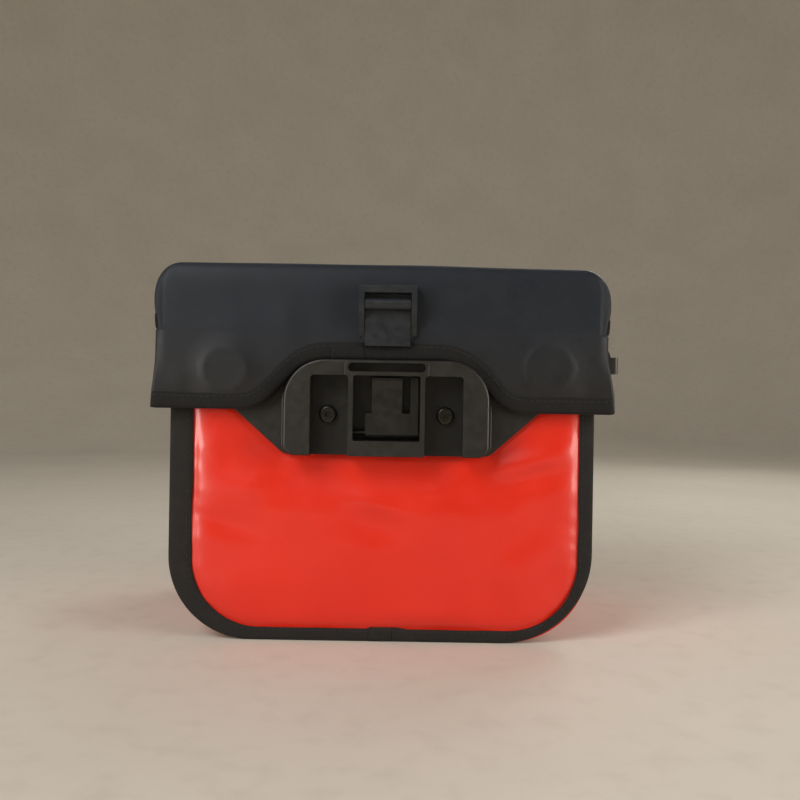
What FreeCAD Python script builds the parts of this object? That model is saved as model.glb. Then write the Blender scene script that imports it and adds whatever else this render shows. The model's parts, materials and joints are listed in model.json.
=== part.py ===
import FreeCAD, Part
import math
import os

V = FreeCAD.Vector

# ---------------------------------------------------------------------------
# Driving dimensions, in millimetres. X runs across the bag, Y from the rider
# side (rear, -Y) to the front (+Y), Z up. The bag stands on Z = 0.
# ---------------------------------------------------------------------------

# Soft box body
BODY_DEPTH = 140.0          # outer face of back panel to outer face of front panel
BODY_TOP = 190.0            # upper edge of the panels
SEAM_TOP = 181.0            # where the bound seams end, under the mouth hem
BINDING_HALF_WIDTH = 117.0  # outer edge of the bound side seams
BINDING_RADIUS = 46.0
WALL_HALF_WIDTH = 106.5     # outer face of the gusset
WALL_BOTTOM = 7.0
WALL_RADIUS = 38.0
PANEL = 1.2                 # coated fabric
GUSSET = 1.2
FLANGE = 0.8                # gusset edge turned out into the seam
TAPE = 0.9                  # binding tape
HEM = 1.0                   # mouth hem tape
HEM_TOP = 191.0
SIDE_BOARD = 1.2            # stiffener boards
END_BOARD = 1.5
BOARD_TOP = 180.0

# Lid
LID_TOP = 206.5
LID_HALF_WIDTH = 124.0
SKIRT_BOTTOM = 171.0
LID_FABRIC = 1.6
LID_SIDE_RADIUS = 15.0      # rounding of the long side edges
LID_EDGE_RADIUS = 9.0       # rounding of the rear and front edges
FLAP_GAP = 6.5              # back panel to the inside of the rear flap
SKIRT_GAP = 1.6             # front panel to the inside of the front skirt
FLAP_BOTTOM = 128.0
FLAP_HALF_WIDTH = 126.7     # the free lower corners flare out
FLAP_TOP_HALF_WIDTH = 121.0
CUTOUT_TOP = 156.0          # lower edge of the flap over the adapter
CUTOUT_SHOULDER = 42.5, 24.0  # (x, radius) where the cut-out turns down
CUTOUT_FOOT = 67.5, 26.0      # (x, radius) where it meets the lower edge
LID_TAPE_WIDTH = 8.8
LID_BOARD = 2.0
LID_BOARD_HALF_WIDTH, LID_BOARD_MARGIN = 108.0, 14.0
HINGE_HALF_WIDTH = 104.0
HINGE_BOTTOM, HINGE_TOP = 157.0, 170.4

# Adapter: a wide base plate with a raised receptacle and two strap lugs
BASE_PLATE = 2.5
PLATE_BOTTOM = 103.0
PLATE_TOP = 176.0
PLATE_HALF_WIDTH = 104.0
PLATE_FOOT_HALF_WIDTH = 56.5
PLATE_SHOULDER = 145.0      # where the sloping lower edges end
FRAME_HALF_WIDTH = 55.0
FRAME_TOP = 154.7
FRAME_CORNER = 22.2
FRAME_FACE = 16.5           # rear face of the receptacle, from the back panel
FRAME_FLOOR = 4.5
LEDGE = 2.5                 # step around the foot of the receptacle
LEDGE_TOP = 5.0
RIB = 2.5
WINDOW_HALF_WIDTH = 18.0
CHANNEL_OUTER = 41.0
WINDOW_TOP = 146.2
WINDOW_BOTTOM = 111.2
SLOT_HALF_WIDTH = 20.8
SLOT_BOTTOM = 148.3
SLOT_HEIGHT = 4.6
SLOT_DEPTH = 9.0
MIDDLE_HALF_WIDTH = 22.6    # raised middle around the slot and the window
MIDDLE_TOP = 153.9
MIDDLE_RAISE = 0.6
CORE_FROM, CORE_TO = 44.0, 52.5   # hollow side margins, open to the plate
CORE_BOTTOM, CORE_TOP = 106.0, 137.0
CORE_FACE = 14.0

# Strap lugs
EYE_HALF_WIDTH = 126.5
EYE_WALL = 3.0
EYE_RADIUS = 10.0
EYE_HOLE = 5.0
EYE_Z = 154.0
EYE_FORWARD = 22.0          # forward of the back panel's rear face
ARM_HEIGHT = 9.0
ARM_FROM = 1.3              # the arm passes just behind the side binding
ARM_TO = 3.8

# Latch lever in the middle window
LATCH_PIVOT = 8.0, 115.4    # distance behind the back panel, height
LATCH_PIN_RADIUS = 1.25
RUNNING = 0.05              # radial clearance of a lever on its pin
LATCH_BARREL = 3.2
LATCH_PLATE = 2.5
LATCH_LEFT, LATCH_RIGHT = -11.4, 17.0
TONGUE_LEFT, TONGUE_RIGHT = -7.9, 8.4
RAIL_LEFT = 12.8
LATCH_SHOULDER = 126.0
LATCH_TOP = 145.3
NOSE_BOTTOM = 139.0
NOSE = 2.0                  # how far the catch stands out from the tongue
SPRING_LEAF = 0.4
SPRING_HALF_WIDTH = 4.0
SPRING_FOOT, SPRING_BEND, SPRING_TIP = 120.5, 129.0, 140.0

# Fasteners
SCREW_HOLE = 2.6
SCREW_SHANK = 2.5
CHANNEL_SCREW = 32.0, 125.0
CHANNEL_HEAD = 4.8, 2.8     # radius and height of the pan heads
PLATE_HEAD = 4.2, 2.2
DRIVE_RADIUS, DRIVE_DEPTH = 1.5, 1.6
PLATE_SCREWS = (67.0, 148.0), (38.0, 167.0)
NUT_AF, NUT_HEIGHT = 8.0, 4.0
BACKING = 2.0
BACKING_HALF_WIDTH = 80.0
BACKING_BOTTOM, BACKING_TOP = 116.0, 175.0

# Magnets in the rear flap and their keepers in the base plate
MAGNET_X, MAGNET_Z = 88.0, 150.5
MAGNET_RADIUS, MAGNET_THICK = 11.0, 2.5
PATCH_RADIUS, PATCH = 13.0, 0.7
KEEPER = 1.0

# Pull tab on the rear flap
BRACKET_HALF_WIDTH = 15.6
BRACKET_FOOT_HALF_WIDTH = 13.4
BRACKET_TOP = 194.8
BRACKET_BOTTOM = 165.2
BRACKET_BASE = 1.2
BRACKET_REACH = 8.2
CHEEK = 3.0
BRIDGE = 4.4
PULL_PIVOT_Z = 184.6
PULL_BARREL = 3.4
PULL_PIN = 1.25
PULL_CLEAR = 0.35           # barrel to bracket base
BACKER = 1.2
BACKER_HALF_WIDTH = 12.0
BRACKET_SCREW_Z = 169.0, 189.5
BRACKET_SCREW = 1.5         # shank radius
BRACKET_HEAD = 2.8, 1.3     # radius and height
BRACKET_DRIVE = 0.9, 0.8    # radius and depth
CHEEK_BOTTOM, CHEEK_SHOULDER, CHEEK_ELBOW = 168.0, 180.0, 172.5
TAB_GAP = 0.7               # bracket base to the inside of the tab
TAB_THICK = 2.2
TAB_SIDE_GAP = 0.4
TAB_FOOT = 161.8            # the tab reaches down over the flap's tape

# Derived places: the bounding box is centred on Y = 0
FRONT_REACH = SKIRT_GAP + LID_FABRIC
REAR = (FRAME_FACE - BODY_DEPTH - FRONT_REACH) / 2
FRONT = REAR + BODY_DEPTH
FLAP_FACE = FLAP_GAP + LID_FABRIC
PULL_PIVOT = FLAP_FACE + BRACKET_BASE + PULL_CLEAR + PULL_BARREL


# ---------------------------------------------------------------------------
# Helpers
# ---------------------------------------------------------------------------

PLANES = {
    "XZ": (lambda a, b: V(a, 0, b), V(0, 1, 0)),
    "YZ": (lambda a, b: V(0, a, b), V(1, 0, 0)),
    "XY": (lambda a, b: V(a, b, 0), V(0, 0, 1)),
}


def rear(distance):
    """Y of a plane this far behind the back panel's rear face."""
    return REAR - distance


def loop(corners, plane="XZ"):
    """Closed wire through (a, b, radius) corners, each rounded by its radius."""
    place = PLANES[plane][0]
    points = [V(a, b, 0) for a, b, _ in corners]
    edges, ends = [], []
    count = len(corners)
    for i, (_, _, radius) in enumerate(corners):
        here = points[i]
        back = (points[i - 1] - here).normalize()
        ahead = (points[(i + 1) % count] - here).normalize()
        if radius <= 0:
            ends.append((here, here, None))
            continue
        half = back.getAngle(ahead) / 2
        run = radius / math.tan(half)
        inward = (back + ahead).normalize()
        middle = here + inward * (radius / math.sin(half) - radius)
        ends.append((here + back * run, here + ahead * run, middle))
    for i, (start, end, middle) in enumerate(ends):
        if middle is not None:
            arc = [place(p.x, p.y) for p in (start, middle, end)]
            edges.append(Part.Arc(*arc).toShape())
        following = ends[(i + 1) % count][0]
        if (following - end).Length > 1e-6:
            edges.append(Part.makeLine(place(end.x, end.y), place(following.x, following.y)))
    return Part.Wire(edges)


def prism(corners, plane, start, end):
    """Solid from a rounded outline, between two places along the plane's normal."""
    return extrude(Part.Face(loop(corners, plane)), plane, start, end)


def extrude(face, plane, start, end):
    normal = PLANES[plane][1]
    moved = face.copy()
    moved.translate(normal * start)
    return moved.extrude(normal * (end - start))


def behind(corners, near, far):
    """Prism of an XZ outline between two distances behind the back panel."""
    return prism(corners, "XZ", rear(far), rear(near))


def symmetric(right_side):
    """Outline symmetric about X = 0, from its right side listed upwards."""
    return right_side + [(-x, z, r) for x, z, r in reversed(right_side)]


def u_shape(half_width, bottom, radius, top):
    return symmetric([(half_width, bottom, radius), (half_width, top, 0)])


def box(x0, x1, y0, y1, z0, z1):
    return Part.makeBox(x1 - x0, y1 - y0, z1 - z0, V(x0, y0, z0))


def disc(x, z, radius, near, far):
    """Cylinder along Y between two distances behind the back panel."""
    return Part.makeCylinder(radius, far - near, V(x, rear(far), z), V(0, 1, 0))


def bar(radius, x0, x1, distance, z):
    """Cylinder along X at a distance behind the back panel."""
    return Part.makeCylinder(radius, x1 - x0, V(x0, rear(distance), z), V(1, 0, 0))


def fuse(first, *others):
    return first.fuse(list(others)).removeSplitter()


def cut(first, *others):
    return first.cut(list(others))


def rim_edges(shape, distance):
    """Edges that lie in the plane this far behind the back panel."""
    return [e for e in shape.Edges if abs(e.BoundBox.YMax - rear(distance)) < 0.01]


def both_sides(points):
    return [(side * x, z) for x, z in points for side in (1, -1)]


def mirror_x(shape):
    return shape.mirror(V(0, 0, 0), V(1, 0, 0))


def front_twin(shape):
    """The same piece mirrored to the other end of the body."""
    return shape.mirror(V(0, (REAR + FRONT) / 2, 0), V(0, 1, 0))


def screw_places():
    return both_sides([CHANNEL_SCREW]) + both_sides(PLATE_SCREWS)


def screw_holes(near, far):
    return [disc(x, z, SCREW_HOLE, near, far) for x, z in screw_places()]


# ---------------------------------------------------------------------------
# Body
# ---------------------------------------------------------------------------

def panel():
    """Back panel: flat sheet with its seam edge, narrower above the seams."""
    outline = symmetric([
        (BINDING_HALF_WIDTH - TAPE, TAPE, BINDING_RADIUS - TAPE),
        (BINDING_HALF_WIDTH - TAPE, SEAM_TOP, 0),
        (WALL_HALF_WIDTH, SEAM_TOP, 0),
        (WALL_HALF_WIDTH, BODY_TOP, 0),
    ])
    return behind(outline, -PANEL, 0)


def wall_outline(inset, top):
    return u_shape(WALL_HALF_WIDTH - inset, WALL_BOTTOM + inset, WALL_RADIUS - inset, top)


def seam_outline(inset):
    return u_shape(BINDING_HALF_WIDTH - inset, inset, BINDING_RADIUS - inset, SEAM_TOP)


def u_strip(outer, inner, start, end):
    """U-shaped strip between two outlines that share their open top."""
    return cut(prism(outer, "XZ", start, end), prism(inner, "XZ", start, end))


def gusset_bottom():
    """Strip that forms the bottom and turns up at both ends."""
    top = WALL_BOTTOM + WALL_RADIUS
    return u_strip(
        wall_outline(0, top), wall_outline(GUSSET, top), REAR + PANEL, FRONT - PANEL,
    )


def gusset_side():
    """Right side panel, joined to the bottom strip where the corner begins."""
    return box(
        WALL_HALF_WIDTH - GUSSET, WALL_HALF_WIDTH, REAR + PANEL, FRONT - PANEL,
        WALL_BOTTOM + WALL_RADIUS, BODY_TOP,
    )


def seam_edge():
    """The gusset's edge, turned out along the back panel inside the binding."""
    start = REAR + PANEL
    return u_strip(seam_outline(TAPE), wall_outline(0, SEAM_TOP), start, start + FLANGE)


def body_binding():
    """Tape folded over the back seam: a leg on each face and a web between."""
    inner = wall_outline(0, SEAM_TOP)
    back = REAR - TAPE
    stack = REAR + PANEL + FLANGE
    leg = u_strip(seam_outline(0), inner, back, REAR)
    far_leg = u_strip(seam_outline(0), inner, stack, stack + TAPE)
    web = u_strip(seam_outline(0), seam_outline(TAPE), REAR, stack)
    return fuse(leg, far_leg, web)


def mouth_hem():
    """Tape folded over the upper edge all round the mouth."""
    def ring(x, y_margin, z0, z1):
        return box(-x, x, REAR + y_margin, FRONT - y_margin, z0, z1)
    outer = ring(WALL_HALF_WIDTH + HEM, -HEM, SEAM_TOP, HEM_TOP)
    hollow = ring(WALL_HALF_WIDTH - GUSSET - HEM, PANEL + HEM, SEAM_TOP, HEM_TOP)
    shell = ring(WALL_HALF_WIDTH, 0, SEAM_TOP, BODY_TOP)
    mouth = ring(WALL_HALF_WIDTH - GUSSET, PANEL, SEAM_TOP, BODY_TOP)
    return cut(cut(outer, hollow), cut(shell, mouth))


def side_board():
    """Stiffener bent to a U inside the gusset."""
    inset = GUSSET + SIDE_BOARD
    return u_strip(
        wall_outline(GUSSET, BOARD_TOP), wall_outline(inset, BOARD_TOP),
        REAR + PANEL, FRONT - PANEL,
    )


def end_board():
    """Flat stiffener behind the back panel."""
    outline = wall_outline(GUSSET + SIDE_BOARD, BOARD_TOP)
    return behind(outline, -PANEL - END_BOARD, -PANEL)


def hinge_strip():
    """Lower half of the lid hinge tape, on the front panel."""
    return box(
        -HINGE_HALF_WIDTH, HINGE_HALF_WIDTH, FRONT, FRONT + SKIRT_GAP, HINGE_BOTTOM, HINGE_TOP,
    )


# ---------------------------------------------------------------------------
# Adapter
# ---------------------------------------------------------------------------

def strap_lug():
    """Right-hand arm that turns forward round the seam and ends in an eye."""
    z0, z1 = EYE_Z - ARM_HEIGHT / 2, EYE_Z + ARM_HEIGHT / 2
    inner = EYE_HALF_WIDTH - EYE_WALL
    eye_y = REAR + EYE_FORWARD
    arm = box(PLATE_HALF_WIDTH, EYE_HALF_WIDTH, rear(ARM_TO), rear(ARM_FROM), z0, z1)
    side = box(inner, EYE_HALF_WIDTH, rear(ARM_TO), eye_y, z0, z1)
    along = V(1, 0, 0)
    eye = Part.makeCylinder(EYE_RADIUS, EYE_WALL, V(inner, eye_y, EYE_Z), along)
    hole = Part.makeCylinder(EYE_HOLE, EYE_WALL, V(inner, eye_y, EYE_Z), along)
    bracket = cut(fuse(arm, side, eye), hole)
    corner = [e for e in bracket.Edges if is_upright_edge(e, EYE_HALF_WIDTH, rear(ARM_TO))]
    return bracket.makeFillet(2.0, corner)


def is_upright_edge(edge, x, y):
    b = edge.BoundBox
    return abs(b.XMin - x) < 0.01 and b.XLength < 0.01 and abs(b.YMin - y) < 0.01 and b.YLength < 0.01


def base_plate():
    """Trapezoid plate on the back panel with pockets for the keepers."""
    outline = symmetric([
        (PLATE_FOOT_HALF_WIDTH, PLATE_BOTTOM, 6),
        (PLATE_HALF_WIDTH, PLATE_SHOULDER, 10),
        (PLATE_HALF_WIDTH, PLATE_TOP, 8),
    ])
    pockets = [
        disc(x, z, MAGNET_RADIUS + 0.1, BASE_PLATE - KEEPER, BASE_PLATE)
        for x, z in both_sides([(MAGNET_X, MAGNET_Z)])
    ]
    plate = behind(outline, 0, BASE_PLATE)
    plate = plate.makeFillet(0.5, rim_edges(plate, BASE_PLATE))
    return cut(plate, *pockets, *screw_holes(0, BASE_PLATE))


def frame_outline(grow, bottom):
    return symmetric([
        (FRAME_HALF_WIDTH + grow, bottom, 6),
        (FRAME_HALF_WIDTH + grow, FRAME_TOP + grow, FRAME_CORNER + grow),
    ])


def adapter_frame():
    """Raised receptacle: two channels open at the foot, a window and a slot."""
    side_face = FRAME_FACE - MIDDLE_RAISE
    block = behind(frame_outline(0, PLATE_BOTTOM), BASE_PLATE, side_face)
    block = block.makeFillet(1.2, rim_edges(block, side_face))
    middle = behind(symmetric([
        (MIDDLE_HALF_WIDTH, PLATE_BOTTOM, 0.8), (MIDDLE_HALF_WIDTH, MIDDLE_TOP, 2),
    ]), CORE_FACE, FRAME_FACE)
    middle = middle.makeFillet(0.4, rim_edges(middle, FRAME_FACE))
    ledge = behind(frame_outline(LEDGE, PLATE_BOTTOM), BASE_PLATE, LEDGE_TOP)
    ledge = ledge.makeFillet(0.7, rim_edges(ledge, LEDGE_TOP))
    channel = behind([
        (WINDOW_HALF_WIDTH + RIB, PLATE_BOTTOM - 1, 0),
        (CHANNEL_OUTER, PLATE_BOTTOM - 1, 0),
        (CHANNEL_OUTER, WINDOW_TOP, 2),
        (WINDOW_HALF_WIDTH + RIB, WINDOW_TOP, 2),
    ], FRAME_FLOOR, FRAME_FACE)
    window = behind(symmetric([
        (WINDOW_HALF_WIDTH, WINDOW_BOTTOM, 1),
        (WINDOW_HALF_WIDTH, WINDOW_TOP, 1),
    ]), FRAME_FLOOR, FRAME_FACE)
    end = SLOT_HEIGHT / 2 - 0.01
    slot = behind(symmetric([
        (SLOT_HALF_WIDTH, SLOT_BOTTOM, end),
        (SLOT_HALF_WIDTH, SLOT_BOTTOM + SLOT_HEIGHT, end),
    ]), FRAME_FACE - SLOT_DEPTH, FRAME_FACE)
    core = behind([
        (CORE_FROM, CORE_BOTTOM, 1), (CORE_TO, CORE_BOTTOM, 1),
        (CORE_TO, CORE_TOP, 1), (CORE_FROM, CORE_TOP, 1),
    ], BASE_PLATE, CORE_FACE)
    ribs = WINDOW_HALF_WIDTH + RIB
    pin_holes = bar(LATCH_PIN_RADIUS, -ribs, ribs, *LATCH_PIVOT)
    screws = screw_holes(BASE_PLATE, FRAME_FLOOR)
    return cut(
        fuse(block, ledge, middle), channel, mirror_x(channel), window, slot,
        core, mirror_x(core), pin_holes, *screws,
    )


def latch_lever():
    """Sprung catch: a plate with a slot beside its tongue, on a barrel."""
    pivot, height = LATCH_PIVOT
    outer = pivot + LATCH_BARREL
    inner = outer - LATCH_PLATE
    outline = [
        (LATCH_LEFT, height, 0), (LATCH_RIGHT, height, 0), (LATCH_RIGHT, LATCH_TOP, 1),
        (RAIL_LEFT, LATCH_TOP, 1), (RAIL_LEFT, LATCH_SHOULDER, 1),
        (TONGUE_RIGHT, LATCH_SHOULDER, 1), (TONGUE_RIGHT, LATCH_TOP, 1),
        (TONGUE_LEFT, LATCH_TOP, 1), (TONGUE_LEFT, LATCH_SHOULDER, 0.5),
        (LATCH_LEFT, LATCH_SHOULDER, 1),
    ]
    plate = behind(outline, inner, outer)
    barrel = bar(LATCH_BARREL, LATCH_LEFT, LATCH_RIGHT, pivot, height)
    nose = prism([
        (rear(outer), NOSE_BOTTOM, 0), (rear(outer + NOSE), LATCH_TOP - NOSE, 0.4),
        (rear(outer + NOSE), LATCH_TOP, 0.4), (rear(outer), LATCH_TOP, 0),
    ], "YZ", TONGUE_LEFT, TONGUE_RIGHT)
    bore = bar(LATCH_PIN_RADIUS + RUNNING, LATCH_LEFT, LATCH_RIGHT, pivot, height)
    return cut(fuse(plate, barrel, nose), bore)


def latch_pin():
    reach = WINDOW_HALF_WIDTH + RIB - 0.2
    return bar(LATCH_PIN_RADIUS, -reach, reach, *LATCH_PIVOT)


def latch_spring():
    """Bent leaf between the receptacle floor and the back of the lever."""
    floor, leaf = FRAME_FLOOR, SPRING_LEAF
    touch = LATCH_PIVOT[0] + LATCH_BARREL - LATCH_PLATE
    return prism([
        (rear(floor), SPRING_FOOT, 0), (rear(floor + leaf), SPRING_FOOT, 0),
        (rear(floor + leaf), SPRING_BEND, 0), (rear(touch), SPRING_TIP, 0),
        (rear(touch - leaf), SPRING_TIP + leaf, 0), (rear(floor), SPRING_BEND + leaf, 0),
    ], "YZ", -SPRING_HALF_WIDTH, SPRING_HALF_WIDTH)


def backing_plate():
    """Inner plate that takes the load of the adapter screws."""
    outline = symmetric([
        (BACKING_HALF_WIDTH, BACKING_BOTTOM, 8), (BACKING_HALF_WIDTH, BACKING_TOP, 8),
    ])
    start = -PANEL - END_BOARD
    return cut(behind(outline, start - BACKING, start), *screw_holes(start - BACKING, start))


def nut_face():
    return -PANEL - END_BOARD - BACKING


def adapter_screws():
    """Pan-head screws through frame, plate, panel and boards."""
    made = []
    for x, z in screw_places():
        in_channel = (abs(x), z) == CHANNEL_SCREW
        seat = FRAME_FLOOR if in_channel else BASE_PLATE
        head_radius, head = CHANNEL_HEAD if in_channel else PLATE_HEAD
        cap = disc(x, z, head_radius, seat, seat + head)
        cap = cap.makeFillet(head / 2, rim_edges(cap, seat + head))
        drive = disc(x, z, DRIVE_RADIUS, seat + head - DRIVE_DEPTH, seat + head)
        shank = disc(x, z, SCREW_SHANK, nut_face() - NUT_HEIGHT - 1, seat)
        made.append(cut(fuse(cap, shank), drive))
    return made


def adapter_nuts():
    made = []
    corner = NUT_AF / math.sqrt(3)
    for x, z in screw_places():
        hexagon = [
            (x + corner * math.cos(math.radians(60 * k)), z + corner * math.sin(math.radians(60 * k)), 0)
            for k in range(6)
        ]
        body = behind(hexagon, nut_face() - NUT_HEIGHT, nut_face())
        made.append(cut(body, disc(x, z, SCREW_SHANK, nut_face() - NUT_HEIGHT, nut_face())))
    return made


def keeper():
    return disc(MAGNET_X, MAGNET_Z, MAGNET_RADIUS, BASE_PLATE - KEEPER, BASE_PLATE)


# ---------------------------------------------------------------------------
# Lid
# ---------------------------------------------------------------------------

def lid_block(inset):
    """Rounded block of the lid's outer shape, drawn in by inset all round."""
    side = LID_HALF_WIDTH - inset
    profile = symmetric([
        (side, SKIRT_BOTTOM, 0),
        (side, LID_TOP - inset, LID_SIDE_RADIUS - inset),
    ])
    start, end = rear(FLAP_FACE - inset), FRONT + FRONT_REACH - inset
    block = prism(profile, "XZ", start, end)
    rim = [
        e for e in block.Edges
        if e.BoundBox.YLength < 0.01 and e.BoundBox.ZMax > SKIRT_BOTTOM + 0.01
    ]
    return block.makeFillet(LID_EDGE_RADIUS - inset, rim)


def lid_cover():
    """Cap with a skirt all round."""
    hole = disc(0, BRACKET_SCREW_Z[1], BRACKET_SCREW, FLAP_GAP, FLAP_FACE)
    return cut(lid_block(0), lid_block(LID_FABRIC), hole)


def lower_region(inset):
    """Everything above the flap's lower edge, drawn in by inset."""
    (top_x, top_radius), (foot_x, foot_radius) = CUTOUT_SHOULDER, CUTOUT_FOOT
    far, high = 2 * LID_HALF_WIDTH, 2 * LID_TOP
    outline = loop([
        (far, FLAP_BOTTOM, 0), (far, high, 0), (-far, high, 0), (-far, FLAP_BOTTOM, 0),
        (-foot_x, FLAP_BOTTOM, foot_radius), (-top_x, CUTOUT_TOP, top_radius),
        (top_x, CUTOUT_TOP, top_radius), (foot_x, FLAP_BOTTOM, foot_radius),
    ])
    return Part.Face(outline.makeOffset2D(-inset) if inset else outline)


def flap_slab(near, far):
    """The flap's side limits, as a slab with slightly flared edges."""
    outline = symmetric([(FLAP_HALF_WIDTH, FLAP_BOTTOM, 0), (FLAP_TOP_HALF_WIDTH, SKIRT_BOTTOM, 0)])
    return behind(outline, near, far)


def flap_layer(inset, near, far):
    return flap_slab(near, far).common(extrude(lower_region(inset), "XZ", rear(far), rear(near)))


def rear_flap():
    hole = disc(0, BRACKET_SCREW_Z[0], BRACKET_SCREW, FLAP_GAP, FLAP_FACE)
    return cut(flap_layer(TAPE, FLAP_GAP, FLAP_FACE), hole)


def flap_binding():
    """Tape folded over the flap's lower edge and its cut-out."""
    def band(width, near, far):
        return cut(flap_layer(0, near, far), flap_layer(width, near, far))
    return fuse(
        band(LID_TAPE_WIDTH, FLAP_GAP - TAPE, FLAP_GAP),
        band(TAPE, FLAP_GAP, FLAP_FACE),
        band(LID_TAPE_WIDTH, FLAP_FACE, FLAP_FACE + TAPE),
    )


def side_binding():
    """Tape folded over the right skirt's lower edge."""
    y0, y1 = rear(FLAP_FACE) + LID_EDGE_RADIUS, FRONT + FRONT_REACH - LID_EDGE_RADIUS
    outer = LID_HALF_WIDTH + TAPE
    inner = LID_HALF_WIDTH - LID_FABRIC - TAPE
    top = SKIRT_BOTTOM + LID_TAPE_WIDTH
    whole = box(inner, outer, y0, y1, SKIRT_BOTTOM - TAPE, top)
    fabric = box(inner + TAPE, outer - TAPE, y0, y1, SKIRT_BOTTOM, top)
    return cut(whole, fabric)


def lid_board():
    """Stiffener under the lid's top."""
    side, margin = LID_BOARD_HALF_WIDTH, LID_BOARD_MARGIN
    y0, y1 = rear(FLAP_FACE) + margin, FRONT + FRONT_REACH - margin
    top = LID_TOP - LID_FABRIC
    outline = [(-side, y0, 8), (side, y0, 8), (side, y1, 8), (-side, y1, 8)]
    return prism(outline, "XY", top - LID_BOARD, top)


def magnet():
    return disc(MAGNET_X, MAGNET_Z, MAGNET_RADIUS, FLAP_GAP - MAGNET_THICK, FLAP_GAP)


def magnet_patch():
    """Fabric patch that holds a magnet against the flap."""
    near = FLAP_GAP - MAGNET_THICK - PATCH
    return cut(disc(MAGNET_X, MAGNET_Z, PATCH_RADIUS, near, FLAP_GAP), magnet())


def bracket_holes(near, far):
    return [disc(0, z, BRACKET_SCREW, near, far) for z in BRACKET_SCREW_Z]


def pull_bracket():
    """Moulded bracket: base, two tapering cheeks and a bridge."""
    face = FLAP_FACE
    base_face = face + BRACKET_BASE
    reach = face + BRACKET_REACH
    side = BRACKET_HALF_WIDTH
    base = behind(symmetric([
        (BRACKET_FOOT_HALF_WIDTH, BRACKET_BOTTOM, 2),
        (side, CHEEK_ELBOW, 4),
        (side, BRACKET_TOP, 1.5),
    ]), face, base_face)
    cheek = prism([
        (rear(face), BRACKET_TOP, 0), (rear(face), CHEEK_BOTTOM, 0), (rear(base_face), CHEEK_BOTTOM, 0),
        (rear(base_face + 1.2), CHEEK_ELBOW, 4), (rear(reach - 1.0), CHEEK_SHOULDER, 6),
        (rear(reach), CHEEK_SHOULDER + 4, 5), (rear(reach), BRACKET_TOP, 1.5),
    ], "YZ", side - CHEEK, side)
    bridge = box(-side, side, rear(reach), rear(face), BRACKET_TOP - BRIDGE, BRACKET_TOP)
    top = [e for e in bridge.Edges if is_top_rear_edge(e, rear(reach))]
    bridge = bridge.makeFillet(1.0, top)
    pin_hole = bar(PULL_PIN, -side, side, PULL_PIVOT, PULL_PIVOT_Z)
    holes = bracket_holes(face, base_face)
    return cut(fuse(base, cheek, mirror_x(cheek), bridge), pin_hole, *holes)


def is_top_rear_edge(edge, y):
    b = edge.BoundBox
    on_rear = abs(b.YMin - y) < 0.01 and b.YLength < 0.01
    return on_rear and b.ZLength < 0.01


def pull_pin():
    return bar(PULL_PIN, -BRACKET_HALF_WIDTH, BRACKET_HALF_WIDTH, PULL_PIVOT, PULL_PIVOT_Z)


def pull_tab():
    """Finger tab: a barrel on the pin and a tongue that hangs from it."""
    side = BRACKET_HALF_WIDTH - CHEEK - TAB_SIDE_GAP
    inner = FLAP_FACE + BRACKET_BASE + TAB_GAP
    barrel = bar(PULL_BARREL, -side, side, PULL_PIVOT, PULL_PIVOT_Z)
    tongue = prism([
        (rear(inner), PULL_PIVOT_Z, 0), (rear(inner), TAB_FOOT, 0.8),
        (rear(inner + TAB_THICK), TAB_FOOT, 1.2), (rear(inner + TAB_THICK), PULL_PIVOT_Z, 0),
    ], "YZ", -side, side)
    bore = bar(PULL_PIN + RUNNING, -side, side, PULL_PIVOT, PULL_PIVOT_Z)
    return cut(fuse(barrel, tongue), bore)


def bracket_backer():
    """Plate inside the flap that the bracket screws clamp against."""
    outline = symmetric([
        (BACKER_HALF_WIDTH, BRACKET_BOTTOM + 1, 2), (BACKER_HALF_WIDTH, BRACKET_TOP - 2, 2),
    ])
    near = FLAP_GAP - BACKER
    return cut(behind(outline, near, FLAP_GAP), *bracket_holes(near, FLAP_GAP))


def bracket_screws():
    seat = FLAP_GAP - BACKER
    head_radius, height = BRACKET_HEAD
    drive_radius, depth = BRACKET_DRIVE
    made = []
    for z in BRACKET_SCREW_Z:
        head = disc(0, z, head_radius, seat - height, seat)
        shank = disc(0, z, BRACKET_SCREW, seat, FLAP_FACE + BRACKET_BASE)
        drive = disc(0, z, drive_radius, seat - height, seat - height + depth)
        made.append(cut(fuse(head, shank), drive))
    return made


# ---------------------------------------------------------------------------
# Export
# ---------------------------------------------------------------------------

def screw_clearance(shape, near, far):
    return cut(shape, *screw_holes(near, far))


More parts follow.
